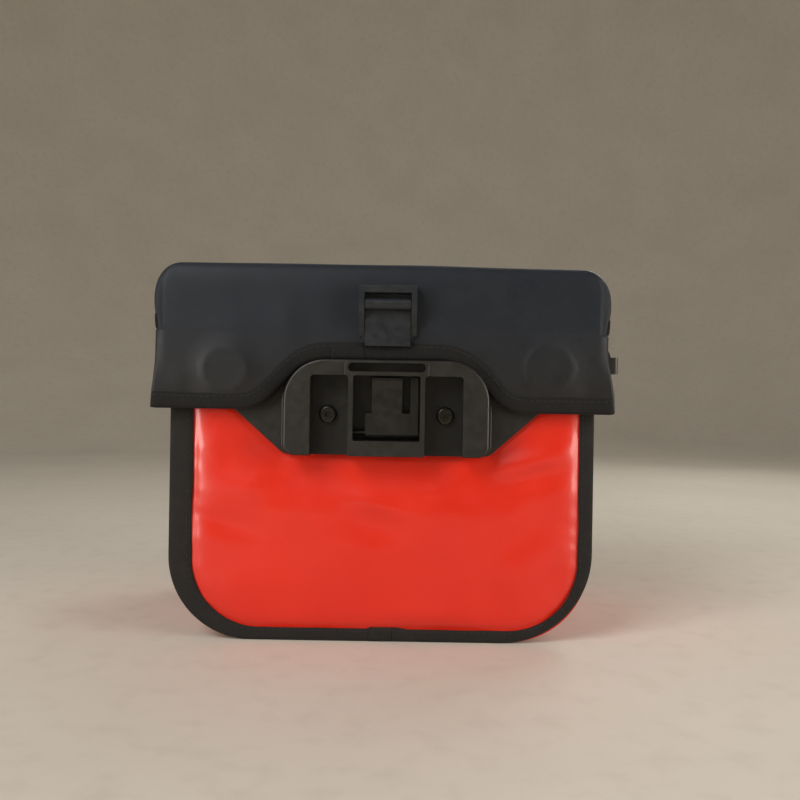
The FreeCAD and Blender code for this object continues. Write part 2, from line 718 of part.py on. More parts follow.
def nodes():
    back = panel()
    board = end_board()
    inside = -PANEL - END_BOARD
    made = {
        "back_panel": [screw_clearance(back, -PANEL, 0)],
        "front_panel": [front_twin(back)],
        "gusset_bottom": [gusset_bottom()],
        "back_seam_edge": [seam_edge()],
        "front_seam_edge": [front_twin(seam_edge())],
        "back_binding": [body_binding()],
        "front_binding": [front_twin(body_binding())],
        "mouth_hem": [mouth_hem()],
        "side_board": [side_board()],
        "back_board": [screw_clearance(board, inside, -PANEL)],
        "front_board": [front_twin(board)],
        "hinge_strip": [hinge_strip()],
        "base_plate": [base_plate()],
        "adapter_frame": [adapter_frame()],
        "latch_lever": [latch_lever()],
        "latch_pin": [latch_pin()],
        "latch_spring": [latch_spring()],
        "backing_plate": [backing_plate()],
        "adapter_screws": adapter_screws(),
        "adapter_nuts": adapter_nuts(),
        "lid_cover": [lid_cover()],
        "rear_flap": [rear_flap()],
        "flap_binding": [flap_binding()],
        "lid_board": [lid_board()],
        "pull_bracket": [pull_bracket()],
        "pull_pin": [pull_pin()],
        "pull_tab": [pull_tab()],
        "bracket_backer": [bracket_backer()],
        "bracket_screws": bracket_screws(),
    }
    for name, maker in (
        ("gusset", gusset_side), ("strap_lug", strap_lug), ("keeper", keeper),
        ("magnet", magnet), ("magnet_patch", magnet_patch), ("side_binding", side_binding),
    ):
        right = maker()
        made[name + "_right"] = [right]
        made[name + "_left"] = [mirror_x(right)]
    return made


def main():
    os.makedirs("parts", exist_ok=True)
    for old in os.listdir("parts"):
        os.remove(os.path.join("parts", old))
    whole = FreeCAD.BoundBox()
    for name, solids in nodes().items():
        flat = [s for shape in solids for s in shape.Solids]
        for solid in flat:
            if not solid.isValid() or solid.Volume <= 0:
                raise ValueError(f"{name} has a bad solid")
        if len(flat) != len(solids):
            raise ValueError(f"{name} has {len(flat)} solids, not {len(solids)}")
        shape = flat[0] if len(flat) == 1 else Part.makeCompound(flat)
        shape.exportStep(os.path.join("parts", name + ".step"))
        whole.add(shape.BoundBox)
        print(f"{name:20s} {len(flat)} solids {shape.Volume / 1000:9.3f} cm3")
    print("bounding box", [round(v, 2) for v in (
        whole.XMin, whole.XMax, whole.YMin, whole.YMax, whole.ZMin, whole.ZMax)])


main()
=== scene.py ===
"""Bicycle bag: the looks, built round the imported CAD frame.

Everything is in metres in the frame's axes: +X to the right seen from the rider, +Y forward, +Z up.
The sewn fabric pieces replace plain CAD solids; the moulded and metal pieces are the CAD's own.
"""
import json
import math

import bmesh
import bpy
import numpy as np
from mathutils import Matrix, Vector


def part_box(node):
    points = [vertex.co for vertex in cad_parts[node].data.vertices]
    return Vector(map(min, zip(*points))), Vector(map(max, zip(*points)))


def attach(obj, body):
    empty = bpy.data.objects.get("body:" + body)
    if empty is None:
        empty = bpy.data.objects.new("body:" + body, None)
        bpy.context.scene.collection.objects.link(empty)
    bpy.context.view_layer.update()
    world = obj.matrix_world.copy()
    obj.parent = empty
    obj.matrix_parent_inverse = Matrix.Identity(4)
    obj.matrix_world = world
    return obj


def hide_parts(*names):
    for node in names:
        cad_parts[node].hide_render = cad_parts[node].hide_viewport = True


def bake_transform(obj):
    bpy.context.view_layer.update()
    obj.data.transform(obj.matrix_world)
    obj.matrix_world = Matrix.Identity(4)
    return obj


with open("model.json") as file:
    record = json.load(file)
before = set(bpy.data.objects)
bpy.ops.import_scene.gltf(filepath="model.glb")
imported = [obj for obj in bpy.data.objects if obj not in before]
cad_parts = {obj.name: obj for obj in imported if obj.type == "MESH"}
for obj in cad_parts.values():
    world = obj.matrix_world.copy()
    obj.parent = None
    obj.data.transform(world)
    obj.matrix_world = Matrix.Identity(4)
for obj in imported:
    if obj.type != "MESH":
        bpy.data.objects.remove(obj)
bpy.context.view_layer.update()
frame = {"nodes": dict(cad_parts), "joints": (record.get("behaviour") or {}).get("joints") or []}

MM = 0.001
nodes = frame["nodes"]
joints = {j["name"]: j for j in frame["joints"]}


# ---------------------------------------------------------------------------
# Places from the frame
# ---------------------------------------------------------------------------

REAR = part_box("back_panel")[0].y            # outer face of the back panel
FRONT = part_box("front_panel")[1].y          # outer face of the front panel
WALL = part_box("gusset_right")[1].x          # outer face of the side walls
FLOOR_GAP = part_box("gusset_bottom")[0].z    # height of the bag's underside
SEAM_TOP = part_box("back_binding")[1].z      # where the bound seams end
MOUTH_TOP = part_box("mouth_hem")[1].z
LID_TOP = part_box("lid_cover")[1].z
LID_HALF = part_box("lid_cover")[1].x
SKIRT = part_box("lid_cover")[0].z            # lower edge of the lid's skirt
LID_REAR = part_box("lid_cover")[0].y
LID_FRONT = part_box("lid_cover")[1].y
FLAP_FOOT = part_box("rear_flap")[0].z - 0.9 * MM
PLATE_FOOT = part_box("base_plate")[0].z
PLATE_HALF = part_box("base_plate")[1].x
PLATE_FOOT_HALF = 56.5 * MM                 # where the plate's sloping lower edges start
PLATE_SLOPE = 0.884                         # their rise for each step outward
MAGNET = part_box("magnet_right")
MAGNET_AT = (MAGNET[0] + MAGNET[1]) / 2
MAGNET_DEPTH = MAGNET[1].y - MAGNET[0].y
HINGE = Vector(joints["lid_hinge"]["pos_m"])

# How the soft box and the soft lid sit on the stiff parts: both lean a little to the left
LEFT_SEAM = -119.4 * MM     # outer edge of the left bound seam
RIGHT_SEAM = 114.6 * MM
LEFT_CORNER = 46 * MM       # radius of the seam's lower corners
RIGHT_CORNER = 50 * MM
INNER_CORNER = 38 * MM
HEM_TUCK = 0.6 * MM         # how far the fabric is drawn in where the hem holds it
LID_SHIFT = -1.9 * MM
LID_TAPE_WIDTH = 8.8 * MM
FLARE_AT_FOOT = 1.024       # how much wider the rear flap is at its foot
FRONT_CLEAR = 158 * MM      # the hinge tape's foot; from here up the front panel lies flat


# ---------------------------------------------------------------------------
# Mesh helpers
# ---------------------------------------------------------------------------

def smooth(t):
    t = np.clip(t, 0, 1)
    return t * t * (3 - 2 * t)


def bump(t):
    """A soft hill of height 1 at t = 0 that ends at t = -1 and t = 1."""
    return smooth(1 - np.abs(t))


def wander(x, y, seed, size):
    """Slow, smooth unevenness between -1 and 1, the same on every run."""
    turn = np.random.default_rng(seed)
    total = np.zeros(np.broadcast(x, y).shape)
    for octave in range(4):
        angle, phase = turn.uniform(0, 2 * math.pi, 2)
        run = 2 * math.pi / (size / (1 + 0.7 * octave))
        along = np.asarray(x) * math.cos(angle) + np.asarray(y) * math.sin(angle)
        total = total + np.sin(along * run + phase) / (1 + octave)
    return total / 2.1


def fold(x, z, start, end, width, height):
    """A straight crease that fades at both ends."""
    (x0, z0), (x1, z1) = np.array(start) * MM, np.array(end) * MM
    dx, dz = x1 - x0, z1 - z0
    length = math.hypot(dx, dz)
    along = ((x - x0) * dx + (z - z0) * dz) / length ** 2
    across = ((x - x0) * dz - (z - z0) * dx) / length
    return height * MM * np.exp(-((across / (width * MM)) ** 2)) * bump(2 * along - 1)


def new_mesh(name, points, faces, uv=None):
    mesh = bpy.data.meshes.new(name)
    mesh.from_pydata(np.asarray(points).reshape(-1, 3).tolist(), [], faces)
    if uv is not None:
        flat = np.asarray(uv).reshape(-1, 2)
        layer = mesh.uv_layers.new(name="cloth")
        order = np.zeros(len(mesh.loops), np.int32)
        mesh.loops.foreach_get("vertex_index", order)
        layer.data.foreach_set("uv", flat[order].astype(np.float32).ravel())
    mesh.polygons.foreach_set("use_smooth", [True] * len(mesh.polygons))
    mesh.validate()
    piece = bpy.data.objects.new(name, mesh)
    bpy.context.scene.collection.objects.link(piece)
    return piece


def grid_faces(rows, columns, wrap_rows=False, wrap_columns=False, first=0):
    faces = []
    for i in range(rows if wrap_rows else rows - 1):
        for j in range(columns if wrap_columns else columns - 1):
            a = first + i * columns + j
            b = first + i * columns + (j + 1) % columns
            c = first + (i + 1) % rows * columns + (j + 1) % columns
            d = first + (i + 1) % rows * columns + j
            faces.append((a, b, c, d))
    return faces


def settle(piece):
    """Applies the piece's modifiers."""
    bpy.context.view_layer.update()
    evaluated = piece.evaluated_get(bpy.context.evaluated_depsgraph_get())
    made = bpy.data.meshes.new_from_object(evaluated)
    piece.modifiers.clear()
    piece.data = made
    return piece


def thicken(piece, thickness, offset=-1.0):
    """Gives a sheet its thickness; with offset -1 the surface given is the outer one."""
    solid = piece.modifiers.new("thickness", "SOLIDIFY")
    solid.thickness = thickness
    solid.offset = offset
    solid.use_even_offset = False
    return settle(piece)


def face_outward(piece, away_from):
    """Turns the faces of an open sheet so that their normals point away from a point."""
    mesh = piece.data
    total = 0.0
    for p in mesh.polygons:
        total += p.normal.dot(p.center - Vector(away_from)) * p.area
    if total < 0:
        mesh.flip_normals()
    return piece


def sweep(name, outer, inner, profile, depth_axis, ends=True):
    """Band between two matching paths.

    profile lists the corners of its closed section, as (share of the way in, depth along depth_axis).
    """
    outer, inner = np.asarray(outer), np.asarray(inner)
    share = np.array([p[0] for p in profile])[None, :, None]
    depth = np.array([p[1] for p in profile])[None, :, None]
    points = outer[:, None] + (inner - outer)[:, None] * share + np.asarray(depth_axis) * depth
    rows, columns = points.shape[:2]
    faces = grid_faces(rows, columns, wrap_columns=True)
    if ends:
        faces.append(tuple(range(columns)))
        faces.append(tuple(range((rows - 1) * columns, rows * columns))[::-1])
    run = np.concatenate([[0], np.cumsum(np.linalg.norm(np.diff(outer, axis=0), axis=1))])
    around = np.concatenate([[0], np.cumsum(np.linalg.norm(np.diff(points[0], axis=0), axis=1))])
    uv = np.stack(np.meshgrid(run, around, indexing="ij"), -1)
    piece = new_mesh(name, points, faces, uv)
    piece.data.update()
    return outward(piece)


def outward(piece):
    """Recalculates a closed mesh's normals to point out."""
    work = bmesh.new()
    work.from_mesh(piece.data)
    bmesh.ops.recalc_face_normals(work, faces=work.faces)
    work.to_mesh(piece.data)
    work.free()
    return piece


def even(path, step, phase=0.0):
    """Points and directions at equal steps along a polyline."""
    path = np.asarray(path, float)
    runs = np.concatenate([[0], np.cumsum(np.linalg.norm(np.diff(path, axis=0), axis=1))])
    at = np.arange(phase + step / 2, runs[-1], step)
    point = np.stack([np.interp(at, runs, path[:, k]) for k in range(3)], 1)
    nearby = np.stack([np.interp(at + step / 8, runs, path[:, k]) for k in range(3)], 1)
    direction = nearby - point
    direction /= np.maximum(np.linalg.norm(direction, axis=1, keepdims=True), 1e-9)
    return point, direction


def stitches(name, path, step=3.6 * MM, length=2.7 * MM, radius=0.28 * MM):
    """A row of thread stitches: one small capsule per stitch, half sunk in the fabric."""
    point, direction = even(path, step)
    sides = 6
    rings = (-0.5, 0.0), (-0.42, 0.8), (0.0, 1.0), (0.42, 0.8), (0.5, 0.0)      # (along, share of the radius)
    first = np.cross(direction, [0.0, 1.0, 0.0])
    weak = np.linalg.norm(first, axis=1) < 0.2
    first[weak] = np.cross(direction[weak], [1.0, 0.0, 0.0])
    first /= np.linalg.norm(first, axis=1, keepdims=True)
    second = np.cross(direction, first)
    points, faces = [], []
    for k in range(len(point)):
        base = len(points)
        for along, wide in rings:
            for i in range(sides):
                turn = 2 * math.pi * i / sides
                side = first[k] * math.cos(turn) + second[k] * math.sin(turn)
                points.append(point[k] + direction[k] * along * length + side * wide * radius)
        faces += grid_faces(len(rings), sides, wrap_columns=True, first=base)
    return outward(new_mesh(name, points, faces))


# ---------------------------------------------------------------------------
# Materials
# ---------------------------------------------------------------------------

class Shader:
    """A node material: wires procedural detail into one Principled shader."""

    def __init__(self, name, colour, roughness, **fixed):
        self.material = bpy.data.materials.new(name)
        self.material.use_nodes = True
        self.tree = self.material.node_tree
        self.main = self.tree.nodes["Principled BSDF"]
        self.main.inputs["Base Color"].default_value = (*colour, 1)
        self.main.inputs["Roughness"].default_value = roughness
        for key, value in fixed.items():
            self.main.inputs[key.replace("_", " ")].default_value = value
        self.colour, self.roughness, self.height = colour, roughness, None
        where = self.tree.nodes.new("ShaderNodeTexCoord")
        self.place = where.outputs["Object"]

    def node(self, kind, **inputs):
        made = self.tree.nodes.new("ShaderNode" + kind)
        for key, value in inputs.items():
            socket = made.inputs[int(key[1:])] if key[0] == "i" and key[1:].isdigit() else made.inputs[key]
            if isinstance(value, bpy.types.NodeSocket):
                self.tree.links.new(value, socket)
            else:
                socket.default_value = value
        return made

    def math(self, operation, a, b=0.0):
        made = self.node("Math", i0=a, i1=b)
        made.operation = operation
        return made.outputs[0]

    def noise(self, scale, detail=3.0, place=None):
        made = self.node("TexNoise", Vector=place or self.place, Scale=scale, Detail=detail)
        return made.outputs["Fac"]

    def place_along(self, axis):
        """The surface point's place along X, Y or Z, in metres."""
        return self.node("SeparateXYZ", Vector=self.place).outputs[axis]

    def between(self, value, low, high, out_low, out_high):
        made = self.node("MapRange", Value=value, **{"From Min": low, "From Max": high})
        made.inputs["To Min"].default_value = out_low
        made.inputs["To Max"].default_value = out_high
        return made.outputs["Result"]

    def blend_colour(self, value, other):
        """Mixes another colour in where value is high."""
        made = self.tree.nodes.new("ShaderNodeMix")
        made.data_type = "RGBA"
        sockets = [s for s in made.inputs if s.type == "RGBA"]
        self.tree.links.new(value, made.inputs["Factor"])
        if isinstance(self.colour, bpy.types.NodeSocket):
            self.tree.links.new(self.colour, sockets[0])
        else:
            sockets[0].default_value = (*self.colour, 1)
        sockets[1].default_value = (*other, 1)
        self.colour = next(s for s in made.outputs if s.type == "RGBA")
        self.tree.links.new(self.colour, self.main.inputs["Base Color"])

    def set_roughness(self, socket):
        self.tree.links.new(socket, self.main.inputs["Roughness"])

    def add_height(self, value, metres):
        """Adds relief of this depth to the surface."""
        scaled = self.math("MULTIPLY", value, metres)
        self.height = scaled if self.height is None else self.math("ADD", self.height, scaled)

    def done(self):
        if self.height is not None:
            relief = self.node("Bump", Height=self.height, Strength=1.0, Distance=1.0)
            self.tree.links.new(relief.outputs["Normal"], self.main.inputs["Normal"])
        return self.material

    def weave(self, pitch, along=1.0, across=1.0):
        """Over-and-under pattern of two sets of threads on the piece's cloth map, and its ribs alone."""
        uv = self.tree.nodes.new("ShaderNodeUVMap")
        uv.uv_map = "cloth"
        split = self.node("SeparateXYZ", Vector=uv.outputs["UV"])
        u = self.math("SINE", self.math("MULTIPLY", split.outputs["X"], math.pi / pitch * along))
        v = self.math("SINE", self.math("MULTIPLY", split.outputs["Y"], math.pi / pitch * across))
        return self.math("MULTIPLY", u, v), u


def coated_red():
    s = Shader("coated_red", (0.62, 0.016, 0.004), 0.36, Coat_Weight=0.45, Coat_Roughness=0.17)
    s.main.inputs["Specular IOR Level"].default_value = 0.36
    s.blend_colour(s.between(s.noise(22, 3), 0.35, 0.75, 0, 0.55), (0.70, 0.023, 0.006))
    s.blend_colour(s.between(s.noise(9, 4), 0.58, 0.8, 0, 0.28), (0.46, 0.011, 0.003))
    s.set_roughness(s.between(s.noise(60, 4), 0.3, 0.7, 0.30, 0.46))
    cross, _ = s.weave(0.55 * MM)
    s.add_height(cross, 0.016 * MM)
    s.add_height(s.noise(900, 3), 0.025 * MM)
    s.add_height(s.noise(130, 3), 0.10 * MM)
    return s.done()


def coated_charcoal():
    s = Shader("coated_charcoal", (0.0082, 0.0112, 0.0165), 0.52, Sheen_Weight=0.04, Sheen_Roughness=0.4)
    s.main.inputs["Sheen Tint"].default_value = (0.50, 0.72, 1.0, 1)
    s.main.inputs["Specular IOR Level"].default_value = 0.28
    s.blend_colour(s.between(s.noise(26, 4), 0.35, 0.75, 0, 0.6), (0.0112, 0.0130, 0.0165))
    # painted reflection: the lid turns brownish from 176 mm down to 140 mm, for a warm floor reflected in its
    # lower part
    low = s.between(s.place_along("Z"), 176 * MM, 140 * MM, 0, 0.75)
    s.blend_colour(low, (0.0125, 0.0105, 0.0080))
    s.blend_colour(s.between(s.noise(420, 3), 0.5, 0.8, 0, 0.35), (0.020, 0.021, 0.023))
    s.set_roughness(s.between(s.noise(70, 4), 0.3, 0.7, 0.42, 0.60))
    cross, _ = s.weave(0.6 * MM)
    s.add_height(cross, 0.035 * MM)
    s.add_height(s.noise(700, 3), 0.030 * MM)
    s.add_height(s.noise(90, 3), 0.12 * MM)
    return s.done()


def woven_tape(name, shade):
    def tone(*colour):
        return tuple(shade * c for c in colour)

    s = Shader(name, tone(0.0078, 0.0065, 0.0055), 0.78, Sheen_Weight=0.04, Sheen_Roughness=0.5)
    s.main.inputs["Specular IOR Level"].default_value = 0.25
    cross, ribs = s.weave(0.45 * MM, along=1.0, across=0.6)
    s.blend_colour(s.between(ribs, -1, 1, 0, 0.55), tone(0.0130, 0.011, 0.0095))
    s.blend_colour(s.between(s.noise(150, 4), 0.45, 0.8, 0, 0.4), tone(0.0185, 0.016, 0.014))
    s.add_height(ribs, 0.045 * MM)
    s.add_height(cross, 0.030 * MM)
    s.add_height(s.noise(260, 3), 0.10 * MM)
    return s.done()


def thread():
    s = Shader("thread", (0.0060, 0.0055, 0.0050), 0.7)
    s.blend_colour(s.between(s.noise(900, 2), 0.4, 0.7, 0, 1), (0.011, 0.010, 0.009))
    return s.done()


def moulded(name, colour, dusty, roughness, grain, deep_below=None, deep_within=None):
    """Moulded plastic, paler with dust, with painted shade darkening its recesses.

    The recesses are what lies deeper in than deep_below, or nearer to the middle than deep_within.
    """
    painted_recess_shade = tuple(0.35 * c for c in colour)
    s = Shader(name, colour, roughness)
    s.blend_colour(s.between(s.noise(140, 5), 0.5, 0.85, 0, 0.5), dusty)
    if deep_below is not None:
        # painted shade: the deeper in the surface lies, the darker it is painted
        deep = s.between(s.place_along("Y"), deep_below, REAR - 3 * MM, 0, 0.8)
        s.blend_colour(deep, painted_recess_shade)
    if deep_within is not None:
        # painted shade: darker near the middle, over the channel and window floors
        aside = s.math("ABSOLUTE", s.place_along("X"))
        deep = s.between(aside, deep_within + 2 * MM, deep_within, 0, 0.75)
        s.blend_colour(deep, painted_recess_shade)
    s.set_roughness(s.between(s.noise(220, 4), 0.3, 0.7, roughness - 0.07, roughness + 0.10))
    s.add_height(s.noise(2600, 2), grain)
    s.add_height(s.noise(60, 2), 0.06 * MM)
    return s.done()


def metal(name, colour, roughness):
    s = Shader(name, colour, roughness, Metallic=1.0)
    s.blend_colour(s.between(s.noise(300, 4), 0.4, 0.8, 0, 0.5), tuple(0.75 * c for c in colour))
    s.set_roughness(s.between(s.noise(500, 3), 0.3, 0.7, roughness - 0.06, roughness + 0.12))
    s.add_height(s.noise(1500, 2), 0.01 * MM)
    return s.done()


RED, CHARCOAL, THREAD = coated_red(), coated_charcoal(), thread()
BODY_WEAVE, LID_WEAVE = woven_tape("woven_tape", 1.15), woven_tape("woven_tape_lid", 0.5)
PLASTIC = moulded("moulded_black", (0.0115, 0.0105, 0.0080), (0.026, 0.024, 0.019), 0.44, 0.020 * MM)
MOUNT_BLACK, MOUNT_DUSTY = (0.0092, 0.0083, 0.0056), (0.021, 0.019, 0.014)
# The frame, plate and lever carry painted shade in their recesses
FRAME_PLASTIC = moulded(
    "moulded_frame", MOUNT_BLACK, MOUNT_DUSTY, 0.44, 0.020 * MM, deep_below=REAR - 13 * MM)
PLATE_PLASTIC = moulded(
    "moulded_plate", MOUNT_BLACK, MOUNT_DUSTY, 0.44, 0.020 * MM, deep_within=41.5 * MM)
LEVER_PLASTIC = moulded(
    "moulded_lever", (0.0060, 0.0055, 0.0042), (0.012, 0.011, 0.0085), 0.36, 0.008 * MM,
    deep_below=REAR - 11 * MM)
PULL_PLASTIC = moulded("moulded_pull", (0.0095, 0.0115, 0.0145), (0.016, 0.017, 0.019), 0.38, 0.008 * MM)
BOARD = moulded("sheet_plastic", (0.055, 0.055, 0.056), (0.085, 0.084, 0.082), 0.55, 0.015 * MM)
STEEL = metal("zinc_steel", (0.52, 0.52, 0.54), 0.28)
BLACKED = metal("blacked_steel", (0.060, 0.057, 0.050), 0.30)
NICKEL = metal("nickel", (0.62, 0.60, 0.57), 0.18)
ALUMINIUM = metal("aluminium", (0.68, 0.69, 0.71), 0.38)

NODE_LOOKS = {
    "base_plate": PLATE_PLASTIC, "strap_lug_right": PLASTIC, "strap_lug_left": PLASTIC,
    "adapter_frame": FRAME_PLASTIC, "latch_lever": LEVER_PLASTIC,
    "pull_bracket": PULL_PLASTIC, "pull_tab": PULL_PLASTIC,
    "bracket_backer": PLASTIC, "side_board": BOARD, "back_board": BOARD, "front_board": BOARD,
    "lid_board": BOARD, "adapter_screws": BLACKED, "adapter_nuts": STEEL, "latch_pin": BLACKED,
    "latch_spring": BLACKED, "pull_pin": BLACKED, "bracket_screws": BLACKED, "keeper_right": STEEL,
    "keeper_left": STEEL, "magnet_right": NICKEL, "magnet_left": NICKEL, "backing_plate": ALUMINIUM,
}
for node_name, look in NODE_LOOKS.items():
    nodes[node_name].data.materials.clear()
    nodes[node_name].data.materials.append(look)


def wear(piece, look):
    """Gives a piece its material."""
    piece.data.materials.clear()
    piece.data.materials.append(look)
    return piece


# ---------------------------------------------------------------------------
# Body: outlines of the seam
# ---------------------------------------------------------------------------

def u_path(left, right, bottom, left_radius, right_radius, top, steps=(30, 26, 40)):
    """Path down the left side, along the bottom and up the right side, in the XZ plane.

    steps are the points on each upright, on each corner and along the bottom.
    """
    straight, arc, flat = steps
    ramp = np.linspace(0, 1, straight, endpoint=False)
    turn = np.linspace(0, math.pi / 2, arc, endpoint=False)
    points = [(left, top + (bottom + left_radius - top) * t) for t in ramp]
    points += [
        (left + left_radius * (1 - math.cos(a)), bottom + left_radius * (1 - math.sin(a))) for a in turn
    ]
    x0, x1 = left + left_radius, right - right_radius
    points += [(x0 + (x1 - x0) * t, bottom) for t in np.linspace(0, 1, flat, endpoint=False)]
    points += [
        (right - right_radius * (1 - math.sin(a)), bottom + right_radius * (1 - math.cos(a))) for a in turn
    ]
    foot = bottom + right_radius
    points += [(right, foot + (top - foot) * t) for t in np.linspace(0, 1, straight)]
    return np.array(points)


def in_plane(path, y):
    """A path of (x, z) points as points in the plane at y."""
    return np.stack([path[:, 0], np.full(len(path), y), path[:, 1]], 1)


SEAM_OUTER = u_path(LEFT_SEAM, RIGHT_SEAM, 0.0, LEFT_CORNER, RIGHT_CORNER, SEAM_TOP)
SEAM_INNER = u_path(-WALL, WALL, FLOOR_GAP, INNER_CORNER, INNER_CORNER, SEAM_TOP)


def edge_distance(x, z):
    """How far a point of a panel is inside the seam's inner edge."""
    across = np.abs(x) - (WALL - INNER_CORNER)
    down = FLOOR_GAP + INNER_CORNER - z
    outside = np.hypot(np.maximum(across, 0), np.maximum(down, 0))
    return INNER_CORNER - (outside + np.minimum(np.maximum(across, down), 0))


def plate_distance(x, z):
    """How far a point is outside the adapter's base plate, below and beside it."""
    diagonal = (np.abs(x) - PLATE_FOOT_HALF) * PLATE_SLOPE - (z - PLATE_FOOT)
    diagonal /= math.hypot(1, PLATE_SLOPE)
    return np.maximum(np.maximum(PLATE_FOOT - z, diagonal), np.abs(x) - PLATE_HALF)


def panel_grid(top, columns=121, rows=112):
    """Points (x, z) of a panel out to the middle of its binding, in rows that follow the corners."""
    middle = (SEAM_OUTER + SEAM_INNER) / 2
    left, right = middle[: len(middle) // 2], middle[len(middle) // 2:][::-1]
    count = min(len(left), len(right))
    level = np.linspace(0, 1, rows) ** 0.8      # rows a little closer together towards the foot
    z = top + (middle[:, 1].min() - top) * level
    order = np.argsort(left[:count, 1])
    x_left = np.interp(z, left[:count, 1][order], left[:count, 0][order])
    order = np.argsort(right[:count, 1])
    x_right = np.interp(z, right[:count, 1][order], right[:count, 0][order])
    above = z > SEAM_TOP - 1 * MM
    x_left = np.where(above, -WALL + HEM_TUCK, x_left)
    x_right = np.where(above, WALL - HEM_TUCK, x_right)
    share = np.linspace(0, 1, columns)
    x = x_left[:, None] + (x_right - x_left)[:, None] * share
    return x, np.repeat(z[:, None], columns, 1)


# Folds of the back panel: (start, end, width, height) in millimetres, as (x, z)
BACK_FOLDS = (
    ((44, 91), (112, 110), 6.5, 2.5), ((58, 86), (110, 99), 6, -1.5),
    ((56, 20), (100, 66), 11, 1.2), ((84, 26), (103, 50), 6, -0.6),
    ((-112, 70), (-60, 58), 6.5, -1.5), ((-108, 80), (-56, 92), 9, 1.5),
    ((-34, 84), (24, 70), 6.0, 2.0), ((-34, 70), (20, 58), 8, -1.2), ((12, 82), (40, 85), 4, 0.8),
    ((-16, 17), (60, 14), 6.5, 1.2), ((-24, 84), (-22, 8), 14, 0.9),
    ((-56, 98), (-84, 72), 7, 0.8), ((-92, 22), (-66, 46), 8, 0.7), ((-60, 10), (-54, 36), 6, -0.5),
    ((66, 10), (58, 40), 7, -0.5), ((-104, 112), (-88, 100), 5, 0.6),
)
FRONT_FOLDS = (
    ((-92, 30), (-64, 58), 8, 0.9), ((94, 28), (68, 60), 8, 0.9), ((-60, 150), (-84, 120), 9, -0.8),
    ((66, 150), (88, 116), 9, -0.8), ((-20, 14), (-14, 40), 7, -0.5), ((34, 12), (30, 38), 7, 0.5),
    ((-98, 90), (-60, 84), 8, 0.6), ((98, 84), (58, 92), 8, -0.5),
)


def crowned(x, z, height, reach):
    """Fullness that rises from the seam to height, most of it within reach."""
    inside = np.maximum(edge_distance(x, z) - 0.6 * MM, 0)
    return height * (1 - np.exp(-inside / reach))


def pucker(x, z, seed):
    """Small gathers that run in from the seam."""
    inside = edge_distance(x, z)
    angle = np.arctan2(z - 60 * MM, x)
    fine = np.sin(angle * 61 + 2.5 * wander(x, z, seed, 60 * MM))
    return 0.16 * MM * fine * np.exp(-np.maximum(inside, 0) / (5 * MM)) * smooth(inside / (2 * MM))


def back_skin():
    x, z = panel_grid(SEAM_TOP + 4 * MM)
    free = smooth(plate_distance(x, z) / (34 * MM))
    height = crowned(x, z, 2.5 * MM, 4.5 * MM) * (0.35 + 0.65 * free)
    height += crowned(x, z, 2.6 * MM, 24 * MM) * free
    for start, end, width, tall in BACK_FOLDS:
        height += fold(x, z, start, end, width, tall) * smooth(plate_distance(x, z) / (9 * MM))
    height += 0.5 * MM * wander(x, z, 3, 66 * MM) * free + pucker(x, z, 5)
    height -= 0.25 * MM * (1 - smooth(edge_distance(x, z) / (4 * MM)))
    near_plate = smooth((plate_distance(x, z) + 1 * MM) / (5 * MM))
    height = -0.12 * MM + (height + 0.12 * MM) * near_plate
    points = np.stack([x, REAR - height, z], -1)
    piece = new_mesh("back_skin", points, grid_faces(*x.shape), np.stack([x, z], -1))
    face_outward(piece, (0, 0, 0.1))
    thicken(piece, 1.0 * MM)
    wear(piece, RED)
    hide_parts("back_panel", "back_seam_edge")
    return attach(piece, "bag")


def front_skin():
    x, z = panel_grid(SEAM_TOP + 4 * MM)
    low = smooth((FRONT_CLEAR - z) / (40 * MM))
    height = crowned(x, z, 5.2 * MM, 22 * MM) * low
    for start, end, width, tall in FRONT_FOLDS:
        height += fold(x, z, start, end, width, tall) * low
    height += 0.5 * MM * wander(x, z, 8, 80 * MM) * low + pucker(x, z, 6)
    height -= 0.25 * MM * (1 - smooth(edge_distance(x, z) / (4 * MM)))
    points = np.stack([x, FRONT + height, z], -1)
    piece = new_mesh("front_skin", points, grid_faces(*x.shape), np.stack([x, z], -1))
    face_outward(piece, (0, 0, 0.1))
    thicken(piece, 1.0 * MM)
    wear(piece, RED)
    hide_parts("front_panel", "front_seam_edge")
    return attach(piece, "bag")


back_skin()
front_skin()


